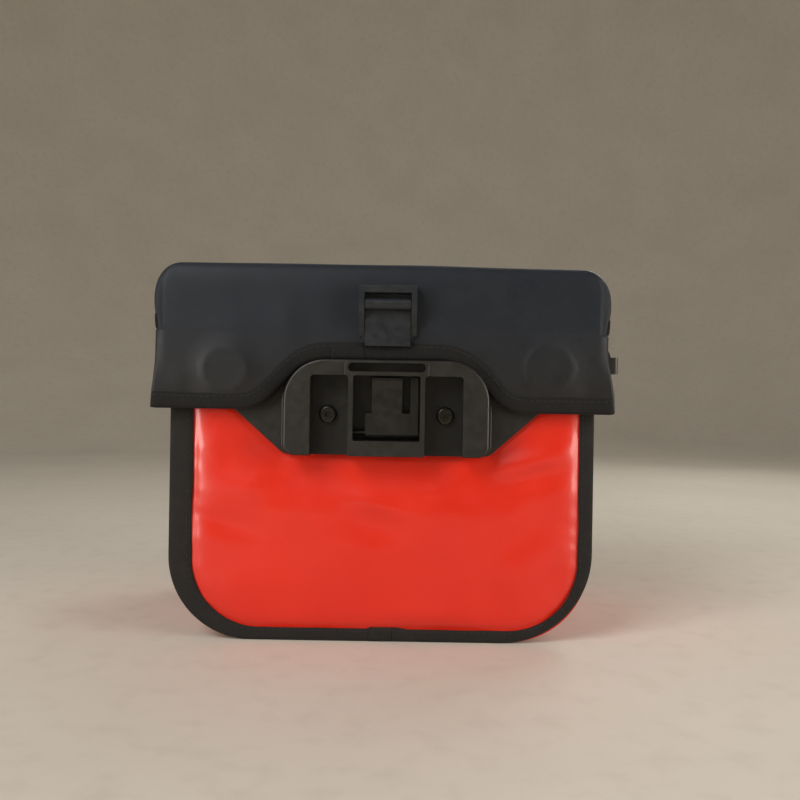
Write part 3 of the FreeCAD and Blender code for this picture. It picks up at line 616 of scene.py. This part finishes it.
def gusset_skin():
    """The strip round the sides and bottom, a little full between its seams, its edges turned out."""
    path = u_path(-WALL, WALL, FLOOR_GAP, INNER_CORNER, INNER_CORNER, SEAM_TOP + 7 * MM, (64, 34, 80))
    run = np.concatenate([[0], np.cumsum(np.linalg.norm(np.diff(path, axis=0), axis=1))])
    tangent = np.gradient(path, axis=0)
    tangent /= np.linalg.norm(tangent, axis=1, keepdims=True)
    out = np.stack([tangent[:, 1], -tangent[:, 0]], 1)
    middle = np.array([0, 100 * MM])
    out *= np.sign(np.einsum("ij,ij->i", out, path - middle))[:, None]
    y0, y1 = REAR + 1.3 * MM, FRONT - 1.3 * MM      # just inside the two panels
    depth = y0 + (y1 - y0) * (0.5 - 0.5 * np.cos(np.linspace(0, math.pi, 76)))
    nearest = np.minimum(depth - y0, y1 - depth)
    below_hem = smooth((SEAM_TOP - 0.5 * MM - path[:, 1]) / (3 * MM))[:, None]
    turned = 6.5 * MM * np.exp(-nearest / (0.55 * MM)) * below_hem
    fullness = np.where(path[:, 1] < FLOOR_GAP + INNER_CORNER, 2.2, 3.4) * MM
    fullness = np.interp(run, run[::12], fullness[::12])
    mouth = smooth((SEAM_TOP - 8 * MM - path[:, 1]) / (50 * MM))
    fullness = fullness * mouth
    s, y = np.meshgrid(run, depth, indexing="ij")
    belly = fullness[:, None] * np.sin(math.pi * (y - y0) / (y1 - y0)) ** 0.8
    belly += 0.55 * MM * wander(s, y, 12, 75 * MM) * smooth(nearest / (22 * MM)) * mouth[:, None]
    gather = np.sin(s / (5.2 * MM) + 2.2 * wander(s, y, 14, 60 * MM))
    corner = np.exp(-(((path[:, 1] - FLOOR_GAP - 12 * MM) / (20 * MM)) ** 2))[:, None]
    gather *= np.exp(-nearest / (9 * MM)) * smooth(nearest / (3 * MM))
    belly += 0.22 * MM * gather * (0.5 + 1.3 * corner)
    lift = belly + turned - HEM_TUCK * (1 - below_hem)
    points = np.stack([
        path[:, 0][:, None] + out[:, 0][:, None] * lift, y, path[:, 1][:, None] + out[:, 1][:, None] * lift,
    ], -1)
    piece = new_mesh("gusset_skin", points, grid_faces(*s.shape), np.stack([s, y], -1))
    face_outward(piece, (0, 0, 0.1))
    thicken(piece, 1.0 * MM)
    wear(piece, RED)
    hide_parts("gusset_right", "gusset_left", "gusset_bottom")
    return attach(piece, "bag")


gusset_skin()


# ---------------------------------------------------------------------------
# Body: tapes
# ---------------------------------------------------------------------------

# Section of a tape folded over a seam: (share of the way in, depth in mm towards the rear)
FOLDED = (
    (1.00, 0.05), (0.985, 0.75), (0.90, 1.00), (0.70, 1.10), (0.45, 1.18), (0.22, 1.10), (0.08, 0.75),
    (0.01, 0.05), (0.0, -1.00), (0.01, -2.05), (0.08, -2.75), (0.25, -3.05), (0.50, -3.05), (0.72, -2.90),
    (0.80, -2.45), (0.70, -2.15), (0.30, -2.10), (0.12, -1.80), (0.08, -1.00), (0.12, -0.20), (0.40, 0.02),
)


def seam_tape(name, y, rearward, node):
    """Binding tape round a panel's seam, with its joint at the foot."""
    outer, inner = SEAM_OUTER.copy(), SEAM_INNER.copy()
    middle = np.abs(outer[:, 0] + 2 * MM)
    lap = (outer[:, 1] < 1 * MM) * smooth((11 * MM - middle) / (6 * MM))
    inner[:, 1] += 1.1 * MM * lap
    uneven = wander(outer[:, 0], outer[:, 1], 21, 50 * MM)
    inner += (inner - outer) * (0.035 * uneven)[:, None]
    profile = [(share, depth * MM) for share, depth in FOLDED]
    piece = sweep(name, in_plane(outer, y), in_plane(inner, y), profile, (0, -rearward, 0))
    wear(piece, BODY_WEAVE)
    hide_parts(node)
    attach(piece, "bag")
    for side, share, depth in (("outer", 0.80, 1.12), ("inner", 0.66, -3.02)):
        path = outer + (inner - outer) * share
        path = path[path[:, 1] < SEAM_TOP - 1 * MM]
        row = stitches(f"{name}_{side}_stitches", in_plane(path, y - rearward * depth * MM))
        wear(row, THREAD)
        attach(row, "bag")
    return piece


seam_tape("back_tape", REAR, 1, "back_binding")
seam_tape("front_tape", FRONT, -1, "front_binding")


def lap_patch():
    """Where the back tape's two ends overlap at the foot of the bag."""
    x = np.linspace(-8 * MM, 4.5 * MM, 16)
    outer = np.stack([x, np.zeros_like(x)], 1)
    inner = np.stack([x, np.full_like(x, FLOOR_GAP + 1.0 * MM)], 1)
    profile = [(share, (depth + (0.28 if depth > 0 else -0.2)) * MM) for share, depth in FOLDED]
    piece = sweep("back_tape_lap", in_plane(outer, REAR), in_plane(inner, REAR), profile, (0, -1, 0))
    wear(piece, BODY_WEAVE)
    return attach(piece, "bag")


lap_patch()


def round_rectangle(x0, x1, y0, y1, radius, step):
    """Closed path round a rectangle with rounded corners, in the XY plane, and its outward normals."""
    points, normals, arc = [], [], 8
    corners = ((x1, y0, -90), (x1, y1, 0), (x0, y1, 90), (x0, y0, 180))
    for k, (cx, cy, start) in enumerate(corners):
        ox = cx - math.copysign(radius, cx - (x0 + x1) / 2)
        oy = cy - math.copysign(radius, cy - (y0 + y1) / 2)
        for i in range(arc + 1):
            a = math.radians(start + 90 * i / arc)
            points.append((ox + radius * math.cos(a), oy + radius * math.sin(a)))
            normals.append((math.cos(a), math.sin(a)))
        nx, ny, _ = corners[(k + 1) % 4]
        ex = nx - math.copysign(radius, nx - (x0 + x1) / 2)
        ey = ny - math.copysign(radius, ny - (y0 + y1) / 2)
        a = math.radians(start + 90)
        end = (ex + radius * math.cos(a), ey + radius * math.sin(a))
        begin = points[-1]
        between = max(2, int(math.hypot(end[0] - begin[0], end[1] - begin[1]) / step))
        for i in range(1, between):
            t = i / between
            points.append((begin[0] + (end[0] - begin[0]) * t, begin[1] + (end[1] - begin[1]) * t))
            normals.append((math.cos(a), math.sin(a)))
    return np.array(points), np.array(normals)


def mouth_tape():
    """Hem folded over the upper edge of the bag."""
    step = 3 * MM
    path, normal = round_rectangle(-WALL, WALL, REAR, FRONT, 5 * MM, step)
    height = MOUTH_TOP - SEAM_TOP
    section = (
        (0.9, 0.0), (1.0, 0.15), (1.05, 0.5), (1.0, 0.85), (0.5, 0.98), (-0.3, 1.0), (-1.6, 0.98),
        (-2.2, 0.85), (-2.3, 0.5), (-2.2, 0.12), (-2.0, 0.0), (-1.3, 0.05), (-1.2, 0.8), (0.0, 0.8),
        (0.1, 0.05),
    )
    points = np.array([
        [(p[0] + n[0] * a * MM, p[1] + n[1] * a * MM, SEAM_TOP + height * b) for a, b in section]
        for p, n in zip(path, normal)
    ])
    run = np.arange(len(path)) * step
    around = np.arange(len(section)) * 1.6 * MM
    uv = np.stack(np.meshgrid(run, around, indexing="ij"), -1)
    faces = grid_faces(len(path), len(section), wrap_rows=True, wrap_columns=True)
    piece = outward(new_mesh("mouth_tape", points, faces, uv))
    wear(piece, BODY_WEAVE)
    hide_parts("mouth_hem")
    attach(piece, "bag")
    for name, offset in (("outside", 1.05), ("inside", -2.3)):
        line = np.array([(p[0] + n[0] * offset * MM, p[1] + n[1] * offset * MM, SEAM_TOP + 2 * MM)
                         for p, n in zip(path, normal)])
        row = wear(stitches(f"mouth_tape_{name}_stitches", line), THREAD)
        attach(row, "bag")
    return piece


mouth_tape()


# ---------------------------------------------------------------------------
# Lid
# ---------------------------------------------------------------------------

LID_HALF_X = LID_HALF + 0.9 * MM
LID_MID_Y = (LID_REAR + LID_FRONT) / 2
LID_HALF_Y = (LID_FRONT - LID_REAR) / 2
EDGE_X, EDGE_Y, EDGE_Z = 15.5 * MM, 5.5 * MM, 19 * MM    # rounding of the top edges
UPRIGHT = 8 * MM                                        # rounding of the upright edges
ACROSS, ALONG, ARC = 116, 66, 5                         # faces per straight side and half corner
FLAP_ROWS = 24


def ring_sides(half_x, half_y, radius):
    """The four sides of a rounded rectangle, each from mid-corner to mid-corner, counted from the rear."""
    radius = max(radius, 0.05 * MM)

    def side(start, end, centre_a, centre_b, angle, count):
        arc_a = [math.radians(angle - 45 + 45 * i / ARC) for i in range(ARC)]
        arc_b = [math.radians(angle + 45 * i / ARC) for i in range(1, ARC + 1)]
        points = [(centre_a[0] + radius * math.cos(a), centre_a[1] + radius * math.sin(a)) for a in arc_a]
        for i in range(count + 1):
            t = i / count
            points.append((start[0] + (end[0] - start[0]) * t, start[1] + (end[1] - start[1]) * t))
        points += [(centre_b[0] + radius * math.cos(a), centre_b[1] + radius * math.sin(a)) for a in arc_b]
        return np.array(points)

    cx, cy = half_x - radius, half_y - radius
    rear = side((-cx, -half_y), (cx, -half_y), (-cx, -cy), (cx, -cy), -90, ACROSS)
    right = side((half_x, -cy), (half_x, cy), (cx, -cy), (cx, cy), 0, ALONG)
    front = side((cx, half_y), (-cx, half_y), (cx, cy), (-cx, cy), 90, ACROSS)
    left = side((-half_x, cy), (-half_x, -cy), (-cx, cy), (-cx, -cy), 180, ALONG)
    return rear, right, front, left


def cutout_edge(x):
    """Height of the flap's lower edge: low at the sides, raised over the adapter in an S-curve."""
    top, foot = 156.0 * MM, FLAP_FOOT
    shoulder, shoulder_r = 42.5 * MM, 24 * MM
    low, low_r = 67.5 * MM, 26 * MM
    slope = math.atan2(top - foot, low - shoulder)
    run_top, run_foot = shoulder_r * math.tan(slope / 2), low_r * math.tan(slope / 2)
    a = np.abs(x)
    z = top - (a - shoulder) * math.tan(slope)
    from_top = np.clip(a - (shoulder - run_top), 0, shoulder_r)
    arc_top = top - shoulder_r + np.sqrt(np.maximum(shoulder_r ** 2 - from_top ** 2, 0))
    z = np.where(a < shoulder + run_top * math.cos(slope), arc_top, z)
    from_foot = np.clip(low + run_foot - a, 0, low_r)
    arc_foot = foot + low_r - np.sqrt(np.maximum(low_r ** 2 - from_foot ** 2, 0))
    return np.where(a > low - run_foot * math.cos(slope), arc_foot, z)


def magnet_mound(x, z):
    """How far the flap stands out over its two magnets."""
    drop = np.where(x < 0, -1.8, 1.2) * MM
    r = np.hypot(np.abs(x) - MAGNET_AT.x, z - MAGNET_AT.z - drop)
    rim = 0.35 * MM * bump((r - 12.2 * MM) / (1.6 * MM))
    disc = 0.65 * MM * smooth((14.2 * MM - r) / (2.0 * MM))
    foot = 0.8 * MM * smooth((22 * MM - r) / (10 * MM))
    return rim + disc + foot


FLAP_FOLDS = (
    ((-104, 176), (-66, 160), 8, 0.5), ((104, 176), (70, 162), 8, 0.5), ((-58, 190), (-44, 164), 7, 0.35),
    ((56, 190), (46, 164), 7, 0.35), ((-118, 150), (-104, 136), 5, 0.5), ((118, 148), (104, 135), 5, -0.5),
)


def rear_relief(x, z):
    """Relief of the lid's rear face, outward."""
    flat_x = x - LID_SHIFT
    relief = magnet_mound(x, z) * smooth((175 * MM - z) / (10 * MM))
    for start, end, width, tall in FLAP_FOLDS:
        relief = relief + fold(flat_x, z, start, end, width, tall)
    near_bracket = np.maximum(np.abs(x) - 17 * MM, 0) + np.maximum(160 * MM - z, 0)
    calm = smooth(near_bracket / (20 * MM))
    return (relief + 0.32 * MM * wander(x, z, 31, 75 * MM)) * calm


def left_bulge(x, z):
    """How far the lid's softer left side stands out."""
    return 2.3 * MM * smooth((-x - 50 * MM) / (60 * MM)) * smooth((z - 140 * MM) / (26 * MM))


def lid_lift(x):
    """The lid's top leans: its left end stands a little higher than its right end."""
    return 0.6 * MM - 0.9 * MM * smooth(x / LID_HALF_X)


def lid_rings():
    """Rounded rectangles from the rim of the top down to the skirt's edge: (half x, half y, radius, z)."""
    rings = []
    for a in np.linspace(math.pi / 2, 0, 12):
        inset_x, inset_y = EDGE_X * (1 - math.cos(a)), EDGE_Y * (1 - math.cos(a)) ** 1.8
        z = LID_TOP - EDGE_Z * (1 - math.sin(a))
        radius = UPRIGHT * (1 - 0.75 * (1 - math.cos(a)))
        rings.append((LID_HALF_X - inset_x, LID_HALF_Y - inset_y, radius, z))
    for z in np.linspace(LID_TOP - EDGE_Z, SKIRT, 13)[1:]:
        rings.append((LID_HALF_X, LID_HALF_Y, UPRIGHT, z))
    return rings


def lid_top(ring):
    """The crowned top, spanned between the four sides of its rim: a grid of points and its flat places."""
    rear, right, front, left = ring_sides(*ring[:3])
    front, left = front[::-1], left[::-1]
    u = np.linspace(0, 1, len(rear))[None, :, None]
    v = np.linspace(0, 1, len(right))[:, None, None]
    flat = (
        (1 - v) * rear[None] + v * front[None] + (1 - u) * left[:, None] + u * right[:, None]
        - (1 - u) * (1 - v) * rear[0] - u * (1 - v) * rear[-1] - (1 - u) * v * front[0] - u * v * front[-1]
    )
    x, y = flat[..., 0], flat[..., 1]
    across, along = x / LID_HALF_X, y / LID_HALF_Y
    rise = 1.6 * MM * (1 - across ** 2) * (1 - along ** 2)
    sag = 0.5 * MM * wander(x, y, 41, 90 * MM) * (1 - across ** 4) * (1 - along ** 4)
    high = LID_TOP + lid_lift(x)
    return np.stack([x + LID_SHIFT - left_bulge(x, high), y + LID_MID_Y, high + rise + sag], -1), flat


def grid_rim(columns, rows):
    """Vertices round the rim of a grid, from the rear left corner by the right one."""
    rim = [i for i in range(columns - 1)]
    rim += [i * columns + columns - 1 for i in range(rows - 1)]
    rim += [(rows - 1) * columns + columns - 1 - i for i in range(columns - 1)]
    return rim + [(rows - 1 - i) * columns for i in range(rows - 1)]


def lid_wall(flat, z):
    """One ring of the lid's rounded edge and skirt, with its slack, and how far each point is on a side."""
    x, y = flat[:, 0] + LID_SHIFT, flat[:, 1] + LID_MID_Y
    on_rear = smooth((-(flat[:, 1]) - (LID_HALF_Y - UPRIGHT)) / UPRIGHT)
    on_side = smooth((np.abs(flat[:, 0]) - (LID_HALF_X - UPRIGHT)) / UPRIGHT)
    down = (LID_TOP - z) / (LID_TOP - SKIRT)
    zs = z + lid_lift(flat[:, 0]) * smooth(1 - (LID_TOP - z) / EDGE_Z)
    y = y - on_rear * rear_relief(x, zs) * smooth(down * 3)
    slack = 0.7 * MM * smooth(down * 1.4) * wander(y, zs, 43, 80 * MM) * on_side
    x = x + np.sign(flat[:, 0]) * (slack - 1.7 * MM * on_side * smooth(2.4 * down - 1.4))
    x = x - left_bulge(flat[:, 0], zs)
    return x, y, zs, on_side


def flap_row(s, z):
    """One row of the rear flap. s runs along it; its rounded ends open out flat towards the foot."""
    half_flat = LID_HALF_X - UPRIGHT
    dropped = (SKIRT - z) / (SKIRT - FLAP_FOOT)
    opened = smooth(dropped * 1.5)
    curve = UPRIGHT / np.maximum(1 - 0.985 * opened, 1e-3)
    turn = np.maximum(np.abs(s) - half_flat, 0) / curve
    depth = curve * (1 - np.cos(turn))
    x = np.sign(s) * (np.minimum(np.abs(s), half_flat) + curve * np.sin(turn))
    x = x * (1 + (FLARE_AT_FOOT - 1) * smooth(dropped) ** 1.5) + LID_SHIFT - 0.7 * MM * dropped
    waist = smooth((np.abs(s) - 60 * MM) / (60 * MM)) * bump((dropped - 0.35) / 0.5)
    x = x - 0.9 * MM * np.sign(s) * waist
    x = x - left_bulge(s, z) + 0.8 * MM * smooth(-s / (100 * MM)) * smooth(dropped * 2 - 1)
    curl = 1.0 * MM * smooth((np.abs(s) - 108 * MM) / (16 * MM)) * smooth(dropped * 1.5 - 0.5)
    return x, LID_REAR + depth - rear_relief(x, z) - curl


def lid_skin():
    """One continuous skin: crowned top, rounded edges, skirt all round and the long rear flap."""
    rings = lid_rings()
    top, top_flat = lid_top(rings[0])
    ny, nx = top.shape[:2]
    points, uvs, faces = [top.reshape(-1, 3)], [top_flat.reshape(-1, 2)], grid_faces(ny, nx)

    above = grid_rim(nx, ny)
    count, base = len(above), nx * ny
    rim_place = uvs[0][above]
    fall = 0.0
    for k, (half_x, half_y, radius, z) in enumerate(rings[1:], 1):
        flat = np.concatenate([side[:-1] for side in ring_sides(half_x, half_y, radius)])
        x, y, zs, on_side = lid_wall(flat, z)
        points.append(np.stack([x, y, zs], -1))
        fall += math.hypot(half_x - rings[k - 1][0], z - rings[k - 1][3])
        spread = np.stack([on_side * np.sign(flat[:, 0]), (1 - on_side) * np.sign(flat[:, 1])], -1)
        uvs.append(rim_place + spread * fall)
        ring = list(range(base, base + count))
        for i in range(count):
            j = (i + 1) % count
            faces.append((above[i], ring[i], ring[j], above[j]))
        above, base = ring, base + count
    skirt_edge = np.stack([x, y, np.full(count, z)], -1)

    # the rear flap carries on from the rear side
    rear_flat = ring_sides(*rings[-1][:3])[0]
    run = np.concatenate([[0], np.cumsum(np.linalg.norm(np.diff(rear_flat, axis=0), axis=1))])
    s = run - run[-1] / 2
    foot = cutout_edge(s * FLARE_AT_FOOT)
    above = above[:nx]
    for r in range(1, FLAP_ROWS + 1):
        z = SKIRT + (foot - SKIRT) * r / FLAP_ROWS
        x, y = flap_row(s, z)
        points.append(np.stack([x, y, z], -1))
        uvs.append(np.stack([s, -(rings[0][1] + fall + SKIRT - z)], -1))
        row = list(range(base, base + nx))
        for i in range(nx - 1):
            faces.append((above[i], row[i], row[i + 1], above[i + 1]))
        above, base = row, base + nx
    flap_edge = points[-1].copy()
    piece = new_mesh("lid_skin", np.concatenate(points), faces, np.concatenate(uvs))
    face_outward(piece, (0, LID_MID_Y, 0.12))
    thicken(piece, 1.5 * MM)
    wear(piece, CHARCOAL)
    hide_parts("lid_cover", "rear_flap")
    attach(piece, "lid")
    return flap_edge, skirt_edge, nx


flap_edge, skirt_edge, rear_points = lid_skin()

# Section of the lid's tape, open on the inner side: (share of the way in, depth in mm outward)
TAPE_FOLD = (
    (1.0, -0.05), (1.0, 0.55), (0.94, 0.85), (0.75, 0.95), (0.5, 1.0), (0.2, 0.95), (0.05, 0.6),
    (0.0, -0.2), (0.0, -1.3), (0.05, -2.1), (0.2, -2.5), (0.5, -2.55), (0.8, -2.5), (0.94, -2.35),
    (0.98, -1.9), (0.80, -1.65), (0.3, -1.6), (0.12, -1.3), (0.12, -0.2), (0.3, 0.0),
)


def upward_of(path):
    """Unit normals of a path in the XZ plane, on its upper side."""
    tangent = np.gradient(path, axis=0)
    normal = np.zeros_like(path)
    normal[:, 0], normal[:, 2] = -tangent[:, 2], tangent[:, 0]
    normal /= np.maximum(np.linalg.norm(normal, axis=1, keepdims=True), 1e-9)
    return normal * np.sign(normal[:, 2].sum())


def flap_tape():
    """Tape folded over the flap's lower edge and its S-curve."""
    edge = flap_edge[2:-2]
    outward_end = np.array([[-2.4 * MM, 0, 0.3 * MM], [2.0 * MM, 0, 0.3 * MM]])
    edge = np.vstack([edge[:1] + outward_end[0], edge, edge[-1:] + outward_end[1]])
    normal = upward_of(edge)
    width = LID_TAPE_WIDTH * (1 + 0.04 * wander(edge[:, 0], edge[:, 2], 51, 40 * MM))
    outer = edge - normal * 0.9 * MM
    inner = outer + normal * width[:, None]
    profile = [(share, depth * MM) for share, depth in TAPE_FOLD]
    piece = sweep("flap_tape", outer, inner, profile, (0, -1, 0))
    wear(piece, LID_WEAVE)
    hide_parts("flap_binding")
    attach(piece, "lid")
    for name, depth in (("outer", 0.98), ("inner", -2.55)):
        line = outer + (inner - outer) * 0.78 + np.array([0, -depth * MM, 0])
        row = wear(stitches(f"flap_tape_{name}_stitches", line), THREAD)
        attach(row, "lid")
    return outer, inner


flap_outer, flap_inner = flap_tape()


def flap_lap():
    """Where the flap tape's two ends overlap, left of the middle."""
    near = (flap_outer[:, 0] > -32 * MM) & (flap_outer[:, 0] < -12 * MM)
    profile = [(share, (depth + (0.28 if depth > 0 else 0)) * MM) for share, depth in TAPE_FOLD]
    outer = flap_outer[near] - np.array([0, 0, 0.1 * MM])
    inner = flap_inner[near] + np.array([0, 0, 0.3 * MM])
    piece = sweep("flap_tape_lap", outer, inner, profile, (0, -1, 0))
    wear(piece, LID_WEAVE)
    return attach(piece, "lid")


flap_lap()


def side_tape(name, points, outward_x, node):
    """Tape folded over a side skirt's lower edge."""
    outer = points - np.array([0, 0, 0.9 * MM])
    inner = outer + np.array([outward_x * 0.7 * MM, 0, LID_TAPE_WIDTH])
    profile = [(share, depth * MM) for share, depth in TAPE_FOLD]
    piece = sweep(name, outer, inner, profile, (outward_x, 0, 0))
    wear(piece, LID_WEAVE)
    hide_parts(node)
    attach(piece, "lid")
    line = outer + np.array([outward_x * 0.98 * MM, 0, 0.78 * LID_TAPE_WIDTH])
    row = wear(stitches(name + "_stitches", line), THREAD)
    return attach(row, "lid")


CORNER_END = 1              # the side tapes run on round the rear corners, nearly to the flap
side_count = ALONG + 2 * ARC
right_edge = skirt_edge[rear_points - 1 + CORNER_END: rear_points - 1 + side_count - ARC + 1]
left_start = 2 * (rear_points - 1) + side_count
left_edge = skirt_edge[left_start + ARC: left_start + side_count - CORNER_END + 1]
side_tape("side_tape_right", right_edge, 1, "side_binding_right")
side_tape("side_tape_left", left_edge, -1, "side_binding_left")


def magnet_pocket(sign, name, node):
    """Fabric disc that holds a magnet on the flap's inner face."""
    sides, seam = 48, 14 * MM
    radii = np.array([0.2, 4, 8, 10.6, 11.4, 11.8, 12.2, 12.8, 15.0, 15.4]) * MM
    rise = np.array([3.1, 3.1, 3.05, 2.95, 2.6, 1.7, 0.9, 0.6, 0.55, 0.05]) * MM
    turn = np.linspace(0, 2 * math.pi, sides, endpoint=False)
    flap_y = MAGNET[1].y - MAGNET_DEPTH
    x = sign * MAGNET_AT.x + radii[:, None] * np.cos(turn)
    z = MAGNET_AT.z + radii[:, None] * np.sin(turn)
    y = flap_y + np.repeat(rise[:, None], sides, 1)
    points = np.stack([x, y, z], -1)
    faces = grid_faces(len(radii), sides, wrap_columns=True)
    faces.append(tuple(range(sides))[::-1])
    piece = new_mesh(name, points, faces, np.stack([x, z], -1))
    face_outward(piece, (sign * MAGNET_AT.x, LID_REAR - 0.02, MAGNET_AT.z))
    wear(piece, CHARCOAL)
    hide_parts(node)
    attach(piece, "lid")
    closed = np.append(turn, 0)
    circle = np.stack([
        sign * MAGNET_AT.x + seam * np.cos(closed), np.full(sides + 1, flap_y + 0.6 * MM),
        MAGNET_AT.z + seam * np.sin(closed),
    ], 1)
    row = wear(stitches(name + "_stitches", circle, step=3 * MM, length=2.2 * MM), THREAD)
    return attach(row, "lid")


magnet_pocket(1, "magnet_pocket_right", "magnet_patch_right")
magnet_pocket(-1, "magnet_pocket_left", "magnet_patch_left")


def hinge_tape():
    """Fabric strip that joins the front panel to the lid, bent over the hinge."""
    half, foot, head = 104 * MM, FRONT_CLEAR, 181 * MM
    x = np.linspace(-half, half, 90)
    z = np.linspace(foot, head, 30)
    low_y, high_y = FRONT + 0.9 * MM, LID_FRONT + 0.9 * MM
    rise = smooth((z - (HINGE.z - 5 * MM)) / (8 * MM))
    y = low_y + (high_y - low_y) * rise + 0.5 * MM * bump((z - HINGE.z) / (5 * MM))
    gx, gz = np.meshgrid(x, z)
    gy = np.repeat(y[:, None], len(x), 1) + 0.12 * MM * wander(gx, gz, 61, 30 * MM)
    points = np.stack([gx, gy, gz], -1)
    piece = new_mesh("hinge_tape", points, grid_faces(*gx.shape), np.stack([gx, gz], -1))
    face_outward(piece, (0, 0, 0.17))
    thicken(piece, 0.8 * MM)
    wear(piece, CHARCOAL)
    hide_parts("hinge_strip")
    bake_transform(piece)
    rows = ("lower", foot + 2.5 * MM, low_y, "bag"), ("upper", head - 2.5 * MM, high_y, "lid")
    for name, at, y_at, body in rows:
        line = np.stack([x, np.full(len(x), y_at + 0.05 * MM), np.full(len(x), at)], 1)
        row = wear(stitches(f"hinge_tape_{name}_stitches", line), THREAD)
        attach(row, body)
    return piece


hinge_tape()


# ---------------------------------------------------------------------------
# Stage, light and camera
# ---------------------------------------------------------------------------

def stage():
    """Pale floor that curves up far away on every side."""
    flat, curve = 1.5, 1.5
    profile = [(r, 0.0) for r in (0.0001, 0.4, 0.9, flat)]
    for a in np.linspace(0.1, math.pi / 2, 14):
        profile.append((flat + curve * math.sin(a), curve * (1 - math.cos(a))))
    profile.append((flat + curve, 3.2))
    count = 72
    turn = np.linspace(0, 2 * math.pi, count, endpoint=False)
    points = np.array([[(r * math.cos(a), r * math.sin(a), z) for a in turn] for r, z in profile])
    piece = new_mesh("floor", points, grid_faces(len(profile), count, wrap_columns=True))
    s = Shader("pale_floor", (0.63, 0.58, 0.50), 0.75)
    s.blend_colour(s.between(s.noise(6, 5), 0.35, 0.7, 0, 0.6), (0.57, 0.52, 0.44))
    s.blend_colour(s.between(s.noise(60, 5), 0.5, 0.75, 0, 0.4), (0.51, 0.46, 0.38))
    s.add_height(s.noise(300, 4), 0.08 * MM)
    piece.data.materials.append(s.done())
    face_outward(piece, (0, 0, -10))


def area_light(name, place, target, size, power, colour):
    light = bpy.data.lights.new(name, "AREA")
    light.shape = "DISK"
    light.size = size
    light.energy = power
    light.color = colour
    lamp = bpy.data.objects.new(name, light)
    bpy.context.scene.collection.objects.link(lamp)
    lamp.location = place
    lamp.rotation_euler = (Vector(target) - Vector(place)).to_track_quat("-Z", "Y").to_euler()


def lights():
    world = bpy.data.worlds.new("studio")
    bpy.context.scene.world = world
    world.use_nodes = True
    sky = world.node_tree.nodes["Background"]
    sky.inputs["Color"].default_value = (1.0, 0.97, 0.90, 1)
    sky.inputs["Strength"].default_value = 0.26
    middle = (0, 0, 0.11)
    area_light("key", (-0.72, -0.92, 0.98), middle, 0.75, 10.5, (0.97, 0.98, 1.0))
    area_light("left_wall", (-1.00, -0.72, 0.24), middle, 0.45, 6.5, (1.0, 0.96, 0.90))
    area_light("right_wall", (1.12, -0.55, 0.30), middle, 0.7, 11.0, (1.0, 0.94, 0.86))
    area_light("far_side", (0.7, 0.9, 0.9), middle, 0.8, 5.5, (1.0, 0.97, 0.93))


def camera():
    """Square on to the rider side, a little right of the middle, turned so that the bag leans clockwise."""
    distance, height, aside, lean = 447 * MM, 133.4 * MM, 7.2 * MM, math.radians(-0.93)
    data = bpy.data.cameras.new("camera")
    data.lens, data.sensor_width = 37.1, 36
    data.clip_start = 0.01
    eye = bpy.data.objects.new("camera", data)
    bpy.context.scene.collection.objects.link(eye)
    eye.location = (aside, LID_REAR - distance, height)
    eye.rotation_euler = (math.pi / 2, lean, 0)
    bpy.context.scene.camera = eye


stage()
lights()
camera()

bpy.context.scene.view_settings.view_transform = "Standard"
